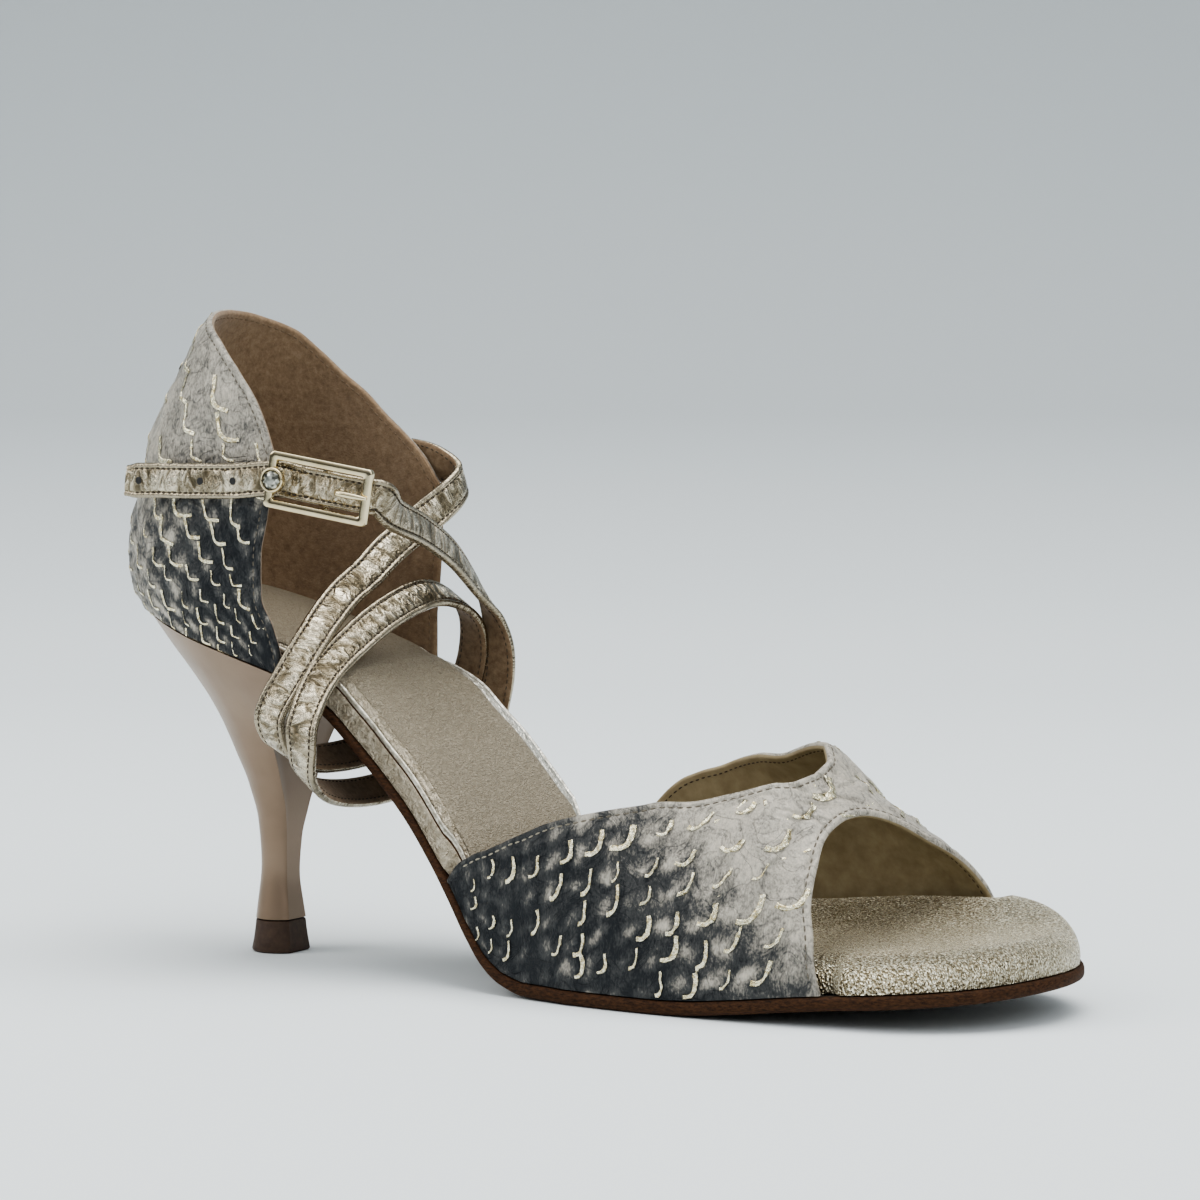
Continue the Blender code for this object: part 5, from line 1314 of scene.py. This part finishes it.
def stem_outline(radius, flat_share=0.8):
    turn = np.linspace(math.pi, 2 * math.pi - math.acos(flat_share), ROUND_POINTS + 1)
    side = np.stack([radius * np.cos(turn), radius * np.sin(turn)], 1)
    return closed_outline(side, (0.0, 0.0))


seat = seat_outline()
seat_z = deck(seat[:, 0], seat[:, 1])
number = np.arange(len(seat))
fore_part = (number >= ROUND_POINTS - 6) & (number <= ROUND_POINTS + FLAT_POINTS + 8)
heel_rings = []
for up in np.linspace(0, 1, 72):
    stem = stem_outline(4.5 * MM * heel_part("radius", up))
    flare, fore_flare = heel_part("flare", up), heel_part("front", up)
    share = np.where(fore_part, fore_flare, flare)
    share = np.convolve(np.concatenate([share[-8:], share, share[:8]]), np.ones(17) / 17, "valid")
    x = stem[:, 0] + STEM_X + (seat[:, 0] - stem[:, 0] - STEM_X) * share
    y = stem[:, 1] + (seat[:, 1] - stem[:, 1]) * flare
    heel_rings.append(np.stack([x, y, CAP_HEIGHT + GAP + (seat_z - CAP_HEIGHT - GAP) * up], 1))
heel = stack("heel_cover", heel_rings, [heel_satin.material, heel_breast.material], angle=35)
# Faces turned to the toe take the satin in painted shade.
for face in heel.data.polygons:
    if face.normal.x > 0.72 and abs(face.normal.y) < 0.45:
        face.material_index = 1

CAP_STEPS = (
    (0.0, 6.3), (0.25, 6.7), (0.6, 6.8), (3.0, 6.35), (6.0, 5.95), (6.9, 5.88), (7.35, 5.8), (7.5, 5.6),
)
cap_rings = []
for height, radius in CAP_STEPS:
    ring = stem_outline(radius * MM)
    cap_rings.append(np.stack([ring[:, 0] + STEM_X, ring[:, 1], np.full(len(ring), height * MM)], 1))
cap = stack("heel_top_piece", cap_rings, [cap_rubber.material], angle=35)
print("heel faces:", len(heel.data.polygons), "cap faces:", len(cap.data.polygons))

# %% [markdown]
# One long strap does all the holding. It leaves the medial side of the counter, crosses the
# instep, passes twice under the arch, crosses again and goes through the buckle, and its
# end lies along the counter. The centre line is a smooth curve through listed points, and
# each point also says where the strap's face looks.

# %% The strap's path
STRAP_WIDTH, STRAP_THICK = 8.0 * MM, 2.0 * MM
BUCKLE_LENGTH, BUCKLE_HEIGHT = 26 * MM, 13 * MM
BUCKLE_SHARES = (0.269, -0.4055, 1.400)
STRAP_ROOT = (
    (0.220, 1.470, 0.00, 1.00, 0.05), (0.238, 1.462, 0.00, 1.00, 0.05),
    (0.255, 1.445, 0.20, 0.97, 0.05),
)
STRAP_WRAP = (
    (0.278, 0.375, 1.408, 0.80, 0.60, 0.20), (0.283, 0.305, 1.362, 0.93, 0.20, 0.35),
    (0.267, 0.215, 1.290, 0.78, 0.10, 0.62), (0.246, 0.110, 1.203, 0.70, -0.05, 0.71),
    (0.242, 0.000, 1.138, 0.64, -0.25, 0.72), (0.240, -0.123, 1.082, 0.55, -0.50, 0.66),
    (0.239, -0.225, 1.018, 0.45, -0.70, 0.55), (0.239, -0.315, 0.952, 0.32, -0.85, 0.40),
    (0.232, -0.405, 0.850, 0.15, -0.97, 0.15), (0.222, -0.452, 0.758, 0.00, -1.00, 0.00),
    (0.222, -0.448, 0.700, -0.20, -0.95, -0.20), (0.226, -0.410, 0.650, -0.45, -0.75, -0.45),
    (0.232, -0.320, 0.615, -0.60, -0.45, -0.62), (0.238, -0.180, 0.608, -0.68, -0.15, -0.70),
    (0.241, 0.000, 0.616, -0.70, 0.00, -0.70), (0.250, 0.200, 0.640, -0.66, 0.30, -0.66),
    (0.264, 0.392, 0.697, -0.45, 0.75, -0.45), (0.275, 0.435, 0.810, -0.10, 0.98, -0.10),
    (0.281, 0.440, 0.900, 0.10, 0.98, 0.10), (0.283, 0.410, 0.985, 0.35, 0.85, 0.35),
    (0.282, 0.320, 1.045, 0.55, 0.60, 0.60), (0.280, 0.164, 1.072, 0.66, 0.20, 0.70),
    (0.275, -0.027, 1.030, 0.64, -0.25, 0.70), (0.268, -0.192, 0.958, 0.50, -0.60, 0.58),
    (0.264, -0.365, 0.862, 0.28, -0.90, 0.30), (0.268, -0.490, 0.745, 0.05, -1.00, 0.05),
    (0.268, -0.500, 0.665, -0.15, -0.97, -0.15), (0.262, -0.455, 0.585, -0.45, -0.70, -0.50),
    (0.256, -0.330, 0.528, -0.60, -0.35, -0.68), (0.255, -0.130, 0.503, -0.68, -0.10, -0.72),
    (0.263, 0.070, 0.515, -0.68, 0.10, -0.70), (0.277, 0.250, 0.560, -0.60, 0.45, -0.62),
    (0.294, 0.420, 0.645, -0.40, 0.80, -0.40), (0.306, 0.450, 0.770, -0.10, 0.98, -0.10),
    (0.310, 0.452, 0.880, 0.10, 0.98, 0.08), (0.306, 0.440, 0.965, 0.30, 0.90, 0.25),
    (0.303, 0.410, 1.030, 0.60, 0.62, 0.42), (0.303, 0.330, 1.095, 0.82, 0.28, 0.45),
    (0.309, 0.164, 1.192, 0.90, -0.05, 0.42), (0.316, -0.041, 1.270, 0.88, -0.28, 0.36),
    (0.321, -0.225, 1.322, 0.82, -0.52, 0.25),
)
STRAP_IN_BUCKLE = (
    (0.52, 0.140, 0.45), (0.42, 0.085, 0.12), (0.25, 0.050, 0.0), (0.0, 0.040, 0.0),
    (-0.25, 0.050, 0.0), (-0.46, 0.075, 0.0),
)
STRAP_TAIL = ((0.165, 1.414), (0.130, 1.412), (0.090, 1.411), (0.060, 1.410), (0.035, 1.408))


def buckle_place():
    """The buckle's own axes: X along the strap to the toe, Z out of the shoe."""
    along = Vector((math.cos(math.radians(9.5)), 0, -math.sin(math.radians(9.5))))
    along.rotate(Matrix.Rotation(math.radians(7), 3, "Z"))
    out = Vector((0, -1, 0))
    out.rotate(Matrix.Rotation(math.radians(7), 3, "Z"))
    up = out.cross(along).normalized()
    out = along.cross(up).normalized()
    place = Matrix((along, up, out)).transposed().to_4x4()
    along_share, across_share, up_share = BUCKLE_SHARES
    place.translation = (float(at_share(along_share)), across_share * BALL_WIDTH, up_share * SEAT_HEIGHT)
    return place


def counter_reach(z, side, x=None):
    """How far out the counter stands behind the strap's width."""
    reach = []
    for height in (z - 0.5 * STRAP_WIDTH, z, z + 0.5 * STRAP_WIDTH):
        xs, ys = counter_face(np.linspace(0, 1, 60), np.full(60, height), side)
        reach.append(float((side * ys).max()) if x is None else float(np.interp(x, xs, side * ys)))
    return side * max(reach)


BUCKLE = buckle_place()
half = 0.5 * STRAP_THICK
marks = []
for along, up, fx, fy, fz in STRAP_ROOT:
    x, z = float(at_share(along)), up * SEAT_HEIGHT
    marks.append((x, counter_reach(z, 1, x) + 2 * GAP + half, z, fx, fy, fz))
for along, across, up, fx, fy, fz in STRAP_WRAP:
    marks.append((float(at_share(along)), across * BALL_WIDTH, up * SEAT_HEIGHT, fx, fy, fz))
for along, behind, turned in STRAP_IN_BUCKLE:
    point = BUCKLE @ Vector((along * BUCKLE_LENGTH, 0, -behind * BUCKLE_LENGTH - half))
    facing = BUCKLE.to_3x3() @ Vector((turned, 0, 1 - turned))
    marks.append((*point, *facing))
for along, up in STRAP_TAIL:
    z = up * SEAT_HEIGHT
    marks.append((float(at_share(along)), counter_reach(z, -1) - 2 * GAP - half, z, 0, -1, 0))
marks = np.array(marks)
marks[:, 3:] /= np.linalg.norm(marks[:, 3:], axis=1, keepdims=True)


def smooth_path(rows, spacing):
    """Catmull-Rom curve through rows, in even steps of length."""
    out = []
    for i in range(len(rows) - 1):
        before, start = rows[max(i - 1, 0)], rows[i]
        end, after = rows[i + 1], rows[min(i + 2, len(rows) - 1)]
        bow = 2 * before - 5 * start + 4 * end - after
        twist = 3 * start - before - 3 * end + after
        for t in np.linspace(0, 1, 24)[:-1]:
            out.append(0.5 * (2 * start + (end - before) * t + bow * t * t + twist * t ** 3))
    out = np.array(out + [rows[-1]])
    length = np.concatenate([[0], np.cumsum(np.linalg.norm(np.diff(out[:, :3], axis=0), axis=1))])
    even = np.linspace(0, length[-1], int(length[-1] / spacing) + 1)
    return np.stack([np.interp(even, length, out[:, k]) for k in range(out.shape[1])], 1), even


strap_line, strap_way = smooth_path(marks, 0.75 * MM)
print("strap length mm:", round(float(strap_way[-1]) / MM))

# %% [markdown]
# The strap's cross-section is a flattened round: foil leather on the face, turned over both
# edges, with a groove where each edge is stitched, and the brown lining behind. Sweeping it
# along the path in code keeps the twist exactly as the facing directions say.

# %% The strap
STRAP_SECTION = (
    (-0.50, -0.30, 1), (-0.44, -0.46, 1), (-0.30, -0.50, 1), (0.0, -0.50, 1), (0.30, -0.50, 1),
    (0.44, -0.46, 1), (0.50, -0.30, 0), (0.51, 0.0, 0), (0.50, 0.26, 0), (0.46, 0.42, 0),
    (0.40, 0.47, 0), (0.345, 0.30, 0), (0.29, 0.47, 0), (0.15, 0.51, 0), (0.0, 0.52, 0),
    (-0.15, 0.51, 0), (-0.29, 0.47, 0), (-0.345, 0.30, 0), (-0.40, 0.47, 0), (-0.46, 0.42, 0),
    (-0.50, 0.26, 0), (-0.51, 0.0, 0),
)
tangent = np.gradient(strap_line[:, :3], axis=0)
tangent /= np.linalg.norm(tangent, axis=1, keepdims=True)
strap_face = strap_line[:, 3:] - (strap_line[:, 3:] * tangent).sum(axis=1, keepdims=True) * tangent
kernel = np.ones(9) / 9
padded = [np.pad(strap_face[:, k], 4, mode="edge") for k in range(3)]
strap_face = np.stack([np.convolve(column, kernel, "valid") for column in padded], 1)
strap_face /= np.linalg.norm(strap_face, axis=1, keepdims=True)
strap_side = np.cross(tangent, strap_face)
strap_side /= np.linalg.norm(strap_side, axis=1, keepdims=True)
strap_rings = []
for k, (centre, side, out) in enumerate(zip(strap_line[:, :3], strap_side, strap_face)):
    shy = 1 - 0.12 * ease(k, len(strap_line) - 5, len(strap_line) - 1)
    wide, thick = STRAP_WIDTH * shy, STRAP_THICK * shy
    ring = [centre + side * a * wide + out * b * thick for a, b, _ in STRAP_SECTION]
    if k > len(strap_line) - 14:
        last_way = ease(k, len(strap_line) - 14, len(strap_line) - 1)
        slide = tangent[k] * last_way * (-1.1 * MM)
        ring = [p + slide * (0.5 + a) for p, (a, _, _) in zip(ring, STRAP_SECTION)]
    strap_rings.append(ring)
around_count = len(STRAP_SECTION)
faces = quads(len(strap_rings), around_count, closed=True)
face_slots = [STRAP_SECTION[f % around_count][2] for f in range(len(faces))]
end_first = (len(strap_rings) - 1) * around_count
faces += [tuple(range(around_count - 1, -1, -1)), tuple(range(end_first, end_first + around_count))]
face_slots += [0, 0]
along_values = np.repeat(strap_way, around_count)
across_values = np.tile([a * STRAP_WIDTH for a, _, _ in STRAP_SECTION], len(strap_rings))
strap_finishes = [strap_foil.material, strap_lining.material]
strap = mesh_piece("strap_leather", np.array(strap_rings).reshape(-1, 3), faces, strap_finishes,
                   face_slots, {"along": along_values, "across": across_values})


def strap_seam_paths(across, up):
    """Two lines along the strap, one on each side of its middle, at a height over its centre."""
    line, side, face = strap_line[3:-5, :3], strap_side[3:-5], strap_face[3:-5]
    return [line + side * a * STRAP_WIDTH + face * up * STRAP_THICK for a in (across, -across)]


strap_seams = sew("strap_seams", strap_seam_paths(0.345, 0.37), brown_thread, 1.5 * MM, 1.0 * MM, 0.42 * MM)
strap_lining_seams = sew("strap_lining_seams", strap_seam_paths(0.36, -0.5), brown_thread,
                         1.5 * MM, 1.0 * MM, 0.30 * MM)
print("strap faces:", len(strap.data.polygons))

# %% [markdown]
# The strap's end has a row of punched holes. Each is a short dark tube, let into the face,
# so that no hole has to be cut through the strap's mesh; its black is painted shade for the
# hole's dark inside.

# %% Punched holes
def tube(name, centre, axis, radii, materials, zones=None, sides=24, angle=35):
    """A turned form: (radius, distance along its axis) steps about one axis."""
    axis = Vector(axis).normalized()
    helper = Vector((0, 0, 1)) if abs(axis.z) < 0.9 else Vector((1, 0, 0))
    u = axis.cross(helper).normalized()
    v = axis.cross(u)
    rings = []
    for radius, along in radii:
        rings.append([Vector(centre) + axis * along + (u * math.cos(a) + v * math.sin(a)) * radius
                      for a in np.linspace(0, 2 * math.pi, sides + 1)[:-1]])
    return stack(name, rings, materials, zones, angle=angle)


HOLE_PLACES = (-0.1222, -0.1133, -0.1396)
HOLE_STEPS = ((0.62, -0.50), (0.62, 0.02), (0.78, 0.06), (0.86, 0.14), (0.80, 0.17), (0.60, 0.18))
hole_steps = [(radius * MM, along * MM) for radius, along in HOLE_STEPS]
off_tail = (strap_line[:, 1] > -24 * MM).astype(float) + (strap_line[:, 2] < 100 * MM)
hole_pieces = []
for n, x in enumerate(HOLE_PLACES):
    k = int(np.argmin(np.abs(strap_line[:, 0] - x) + off_tail))
    mouth = strap_line[k, :3] + strap_face[k] * 0.46 * STRAP_THICK
    hole_pieces.append(tube(f"strap_hole_{n + 1}", mouth, strap_face[k], hole_steps,
                            [black_sole_top_and_hole_shade.material], sides=16))
print("holes:", len(hole_pieces))

# %% [markdown]
# The buckle is a polished rectangular frame with a bar behind the strap, a prong over its
# toe side and a stone in a round setting on its heel side. The frame is one soft-edged
# section, drawn between an outer and an inner rounded rectangle, and the bar and the prong
# are rods along smooth lines.

# %% The buckle's frame, bar and prong
def in_buckle(points):
    return [tuple(BUCKLE @ Vector(p)) for p in points]


def rounded_path(length, height, corner, count=10):
    """Rounded rectangle, corner by corner."""
    path = []
    for sx, sy, first in ((1, 1, 0), (-1, 1, 90), (-1, -1, 180), (1, -1, 270)):
        for k in range(count + 1):
            a = math.radians(first + 90 * k / count)
            path.append((sx * (0.5 * length - corner) + corner * math.cos(a),
                         sy * (0.5 * height - corner) + corner * math.sin(a)))
    return path


def squared(value):
    """Presses a round section towards a square one."""
    return 0.5 * math.copysign(abs(value) ** 0.45, value)


BAR, THICK = 2.0 * MM, 1.8 * MM
bar_section = [(squared(math.cos(a)), squared(math.sin(a))) for a in np.linspace(0, 2 * math.pi, 21)[:-1]]
outer_path = rounded_path(BUCKLE_LENGTH, BUCKLE_HEIGHT, 1.1 * MM)
inner_path = rounded_path(BUCKLE_LENGTH - 2 * BAR, BUCKLE_HEIGHT - 2 * BAR, 0.6 * MM)
rings = []
for (ox, oy), (ix, iy) in zip(outer_path, inner_path):
    rings.append(in_buckle([(ix + (ox - ix) * (0.5 + a), iy + (oy - iy) * (0.5 + a), b * THICK)
                            for a, b in bar_section]))
rings.append(rings[0])
frame_piece = stack("buckle_gold", rings, [gold.material], angle=60, caps=False)


def round_bar(name, points, radius, material, sides=14, taper=None):
    """A round rod through points in the buckle's own axes."""
    rows = np.array([list(p) + [0, 0, 1] for p in points])
    line, way_along = smooth_path(rows, 0.25 * MM)
    line = line[:, :3]
    direction = np.gradient(line, axis=0)
    direction /= np.linalg.norm(direction, axis=1, keepdims=True)
    first = np.cross(direction, np.array([0, 1, 0]))
    first /= np.maximum(np.linalg.norm(first, axis=1, keepdims=True), 1e-9)
    second = np.cross(direction, first)
    rings = []
    for k, centre in enumerate(line):
        r = radius * (taper(way_along[k] / way_along[-1]) if taper else 1.0)
        rings.append(in_buckle([centre + r * (first[k] * math.cos(a) + second[k] * math.sin(a))
                                for a in np.linspace(0, 2 * math.pi, sides + 1)[:-1]]))
    return stack(name, rings, [material], angle=40)


behind = -0.5 * THICK - STRAP_THICK - 1.6 * MM
leg = 0.5 * BUCKLE_HEIGHT - 1.15 * MM
bar_points = [
    (0, leg, 0.2 * MM), (0, leg, behind + 0.5 * MM), (0, leg - 0.5 * MM, behind - 0.6 * MM),
    (0, 0.5 * leg, behind - 0.7 * MM), (0, -0.5 * leg, behind - 0.7 * MM),
    (0, -leg + 0.5 * MM, behind - 0.6 * MM), (0, -leg, behind + 0.5 * MM), (0, -leg, 0.2 * MM),
]
rows = []
line, _ = smooth_path(np.array([list(p) for p in bar_points]), 0.3 * MM)
for k, centre in enumerate(line):
    direction = np.gradient(line, axis=0)[k]
    direction /= np.linalg.norm(direction)
    second = np.cross(direction, (1, 0, 0))
    rows.append(in_buckle([centre + 0.7 * MM * (np.array((1, 0, 0)) * math.cos(a) + second * math.sin(a))
                           for a in np.linspace(0, 2 * math.pi, 13)[:-1]]))
centre_bar = stack("buckle_bar_gold", rows, [gold.material], angle=60)
hole_at = 0.17 * BUCKLE_LENGTH
front_at = 0.5 * THICK + 0.7 * MM + GAP
prong_points = (
    (1.0 * MM, 0, behind - 0.7 * MM), (hole_at - 1.4 * MM, 0, behind - 0.2 * MM),
    (hole_at - 0.2 * MM, 0, behind + 1.2 * MM), (hole_at, 0, -1.0 * MM),
    (hole_at + 0.5 * MM, 0, 0.6 * MM), (hole_at + 2.0 * MM, 0, front_at),
    (0.5 * BUCKLE_LENGTH - 0.2 * MM, 0, front_at),
)
prong = round_bar("prong_gold", prong_points, 0.7 * MM, gold.material,
    taper=lambda t: 1.0 - 0.35 * ease(t, 0.8, 1.0))
print("buckle frame faces:", len(frame_piece.data.polygons))

# %% [markdown]
# The stone is cut as a brilliant: a flat table, a ring of star facets and a crown that meets
# the setting. Flat shading keeps each facet a small mirror of its own.

# %% The stone and its setting
stone_x = -0.5 * BUCKLE_LENGTH + 0.5 * BAR + 1.2 * MM
stone_base = 0.5 * THICK + GAP
stone_centre = BUCKLE @ Vector((stone_x, 0, 0))
stone_axis = BUCKLE.to_3x3() @ Vector((0, 0, 1))
BEZEL_STEPS = (
    (2.2, 0.0), (2.75, 0.0), (2.9, 0.15), (2.92, 0.7), (2.9, 1.15), (2.78, 1.45), (2.6, 1.58),
    (2.42, 1.55), (2.3, 1.4), (2.25, 1.1), (2.2, 0.7),
)
bezel_steps = [(r * MM, stone_base + z * MM) for r, z in BEZEL_STEPS]
bezel = tube("bezel_gold", stone_centre, stone_axis, bezel_steps, [gold.material], sides=48, angle=60)
crown = []
for count, first_turn, radius, height in ((8, 0.0, 1.15, 2.15), (8, 22.5, 1.85, 1.75),
        (16, 0.0, 2.18, 1.25)):
    for k in range(count):
        a = math.radians(360 / count * k + first_turn)
        crown.append((radius * math.cos(a), radius * math.sin(a), height))
crown.append((0, 0, 0.62))
turned = BUCKLE.to_3x3()
points = [stone_centre + turned @ Vector((x * MM, y * MM, z * MM + stone_base)) for x, y, z in crown]
faces = [tuple(range(8))]
for k in range(8):
    n = (k + 1) % 8
    star, low, after = 8 + k, 16 + 2 * k, 16 + (2 * k + 2) % 16
    faces += [(k, star, n), (k, low, star), (star, low, low + 1), (star, low + 1, after), (n, star, after)]
for k in range(16):
    faces.append((16 + (k + 1) % 16, 16 + k, 32))
stone = mesh_piece("stone_cut", points, faces, [stone_glass.material], angle=5)
print("stone faces:", len(stone.data.polygons))

# %% [markdown]
# A short tab ties the buckle's hidden bar to the inside of the counter's front edge. The
# packed tab has the right form, so its mesh is kept and only its finish is new.

# %% The tab keeps its packed form
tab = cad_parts["buckle_tab"]
tab.data.materials.clear()
tab.data.materials.append(strap_foil.material)
print("tab faces:", len(tab.data.polygons))

# %% [markdown]
# Every new piece rides on the shoe's one body, and the imported piece that it stands for is
# hidden. The insole is foam under leather.

# %% Attach the pieces to the shoe's body
PIECES = (
    (vamp, "vamp", "vamp"), (vamp_ticks, None, "vamp"), (vamp_streaks, None, "vamp"),
    (counter, "quarter", "quarter"), (counter_ticks, None, "quarter"), (insole, "footbed", "footbed"),
    (sock, "sock", "sock"), (outsole, "outsole", "outsole"), (heel, "heel", "heel"),
    (cap, "heel_cap", "heel_cap"), (strap, "wrap_strap", "wrap_strap"),
    (strap_seams, None, "wrap_strap"), (strap_lining_seams, None, "wrap_strap"),
    (frame_piece, "buckle_frame", "buckle_frame"), (centre_bar, None, "buckle_frame"),
    (prong, "buckle_prong", "buckle_prong"), (bezel, "stone_bezel", "stone_bezel"),
    (stone, "stone", "stone"),
)
for piece, node, slot in PIECES:
    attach(piece, "root")
    if node:
        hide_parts(node)
for piece in sewn_pieces:
    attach(piece, "root")
for piece in hole_pieces:
    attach(piece, "root")
print("pieces:", len(PIECES) + len(sewn_pieces) + len(hole_pieces))

# %% [markdown]
# The photograph was taken against a pale grey-blue sweep under a large soft light. One
# curved sheet is both floor and wall, so there is no line between them. Three broad area
# lights and a soft sky light it, and the camera looks down by four degrees from the toe
# side.

# %% Floor, lights and camera
floor_finish = Finish("studio sweep", rough=0.9)
height_now = floor_finish.add("ShaderNodeSeparateXYZ", {"Vector": floor_finish.place}).outputs["Z"]
# The sweep is one pale paper; its colour is painted palest on the floor and darker up the wall, as painted
# light and shade.
floor_finish.set("Base Color", floor_finish.ramp(floor_finish.between(height_now, 0.0, 0.5), (
    (0.0, (0.87, 0.915, 0.93)), (0.05, (0.76, 0.80, 0.815)), (0.2, (0.51, 0.545, 0.56)),
    (0.8, (0.385, 0.42, 0.435)))))
profile_rows = [(-3.0, 0.0), (0.75, 0.0)]
for a in np.linspace(0, math.pi / 2, 24)[1:]:
    profile_rows.append((0.75 + 0.6 * math.sin(a), 0.6 - 0.6 * math.cos(a)))
profile_rows.append((1.35, 3.5))
sweep_turn = math.radians(30)
depth_dir = np.array([-math.sin(sweep_turn), math.cos(sweep_turn)])
side_dir = np.array([math.cos(sweep_turn), math.sin(sweep_turn)])
sweep_points = []
for side in (-4.0, 4.0):
    for d, z in profile_rows:
        x, y = depth_dir * d + side_dir * side
        sweep_points.append((x, y, z - 0.0001))
n = len(profile_rows)
sweep_mesh = bpy.data.meshes.new("sweep")
sweep_mesh.from_pydata(sweep_points, [], [(k, n + k, n + k + 1, k + 1) for k in range(n - 1)])
sweep_mesh.materials.append(floor_finish.material)
sweep_mesh.shade_smooth()
sweep = in_scene("sweep", sweep_mesh)

world = bpy.data.worlds.new("soft sky")
world.use_nodes = True
sky = world.node_tree
sky_place = sky.nodes.new("ShaderNodeTexCoord")
sky_up = sky.nodes.new("ShaderNodeSeparateXYZ")
sky_ramp = sky.nodes.new("ShaderNodeValToRGB")
sky.links.new(sky_place.outputs["Generated"], sky_up.inputs[0])
sky.links.new(sky_up.outputs["Z"], sky_ramp.inputs["Fac"])
sky.links.new(sky_ramp.outputs["Color"], sky.nodes["Background"].inputs["Color"])
for mark, (where, grey) in zip(sky_ramp.color_ramp.elements, ((0.05, 0.10), (0.75, 1.25))):
    mark.position = where
    mark.color = (0.93 * grey, 0.97 * grey, 1.0 * grey, 1)
sky.nodes["Background"].inputs["Strength"].default_value = 0.8
bpy.context.scene.world = world
bpy.context.scene.view_settings.look = "AgX - Medium High Contrast"


def area_light(name, place, target, size, power, colour):
    lamp = bpy.data.lights.new(name, "AREA")
    lamp.shape = "RECTANGLE"
    lamp.size, lamp.size_y = size
    lamp.energy = power
    lamp.color = colour
    holder = in_scene(name, lamp)
    holder.location = place
    holder.rotation_euler = (Vector(target) - Vector(place)).to_track_quat("-Z", "Y").to_euler()


area_light("overhead softbox", (0.05, 0.15, 1.3), (-0.02, 0.0, 0.05), (1.3, 1.0), 14, (1.0, 0.99, 0.97))
area_light("left softbox", (-0.9, -0.75, 0.75), (-0.03, 0.0, 0.06), (0.7, 0.9), 5, (1.0, 0.98, 0.95))
area_light("right softbox", (1.0, -0.5, 0.6), (0.0, 0.0, 0.05), (0.6, 0.8), 2.8, (0.97, 0.99, 1.0))

camera_data = bpy.data.cameras.new("photo camera")
camera_data.lens = 4240 / 1200 * 36
camera_data.sensor_width = 36
camera_data.clip_start = 0.05
camera = in_scene("photo camera", camera_data)
camera.location = (0.44062, -0.82163, 0.15166)
camera.rotation_euler = (math.radians(90 - 3.98), 0, math.radians(30))
bpy.context.scene.camera = camera
print("camera at", [round(v, 3) for v in camera.location])
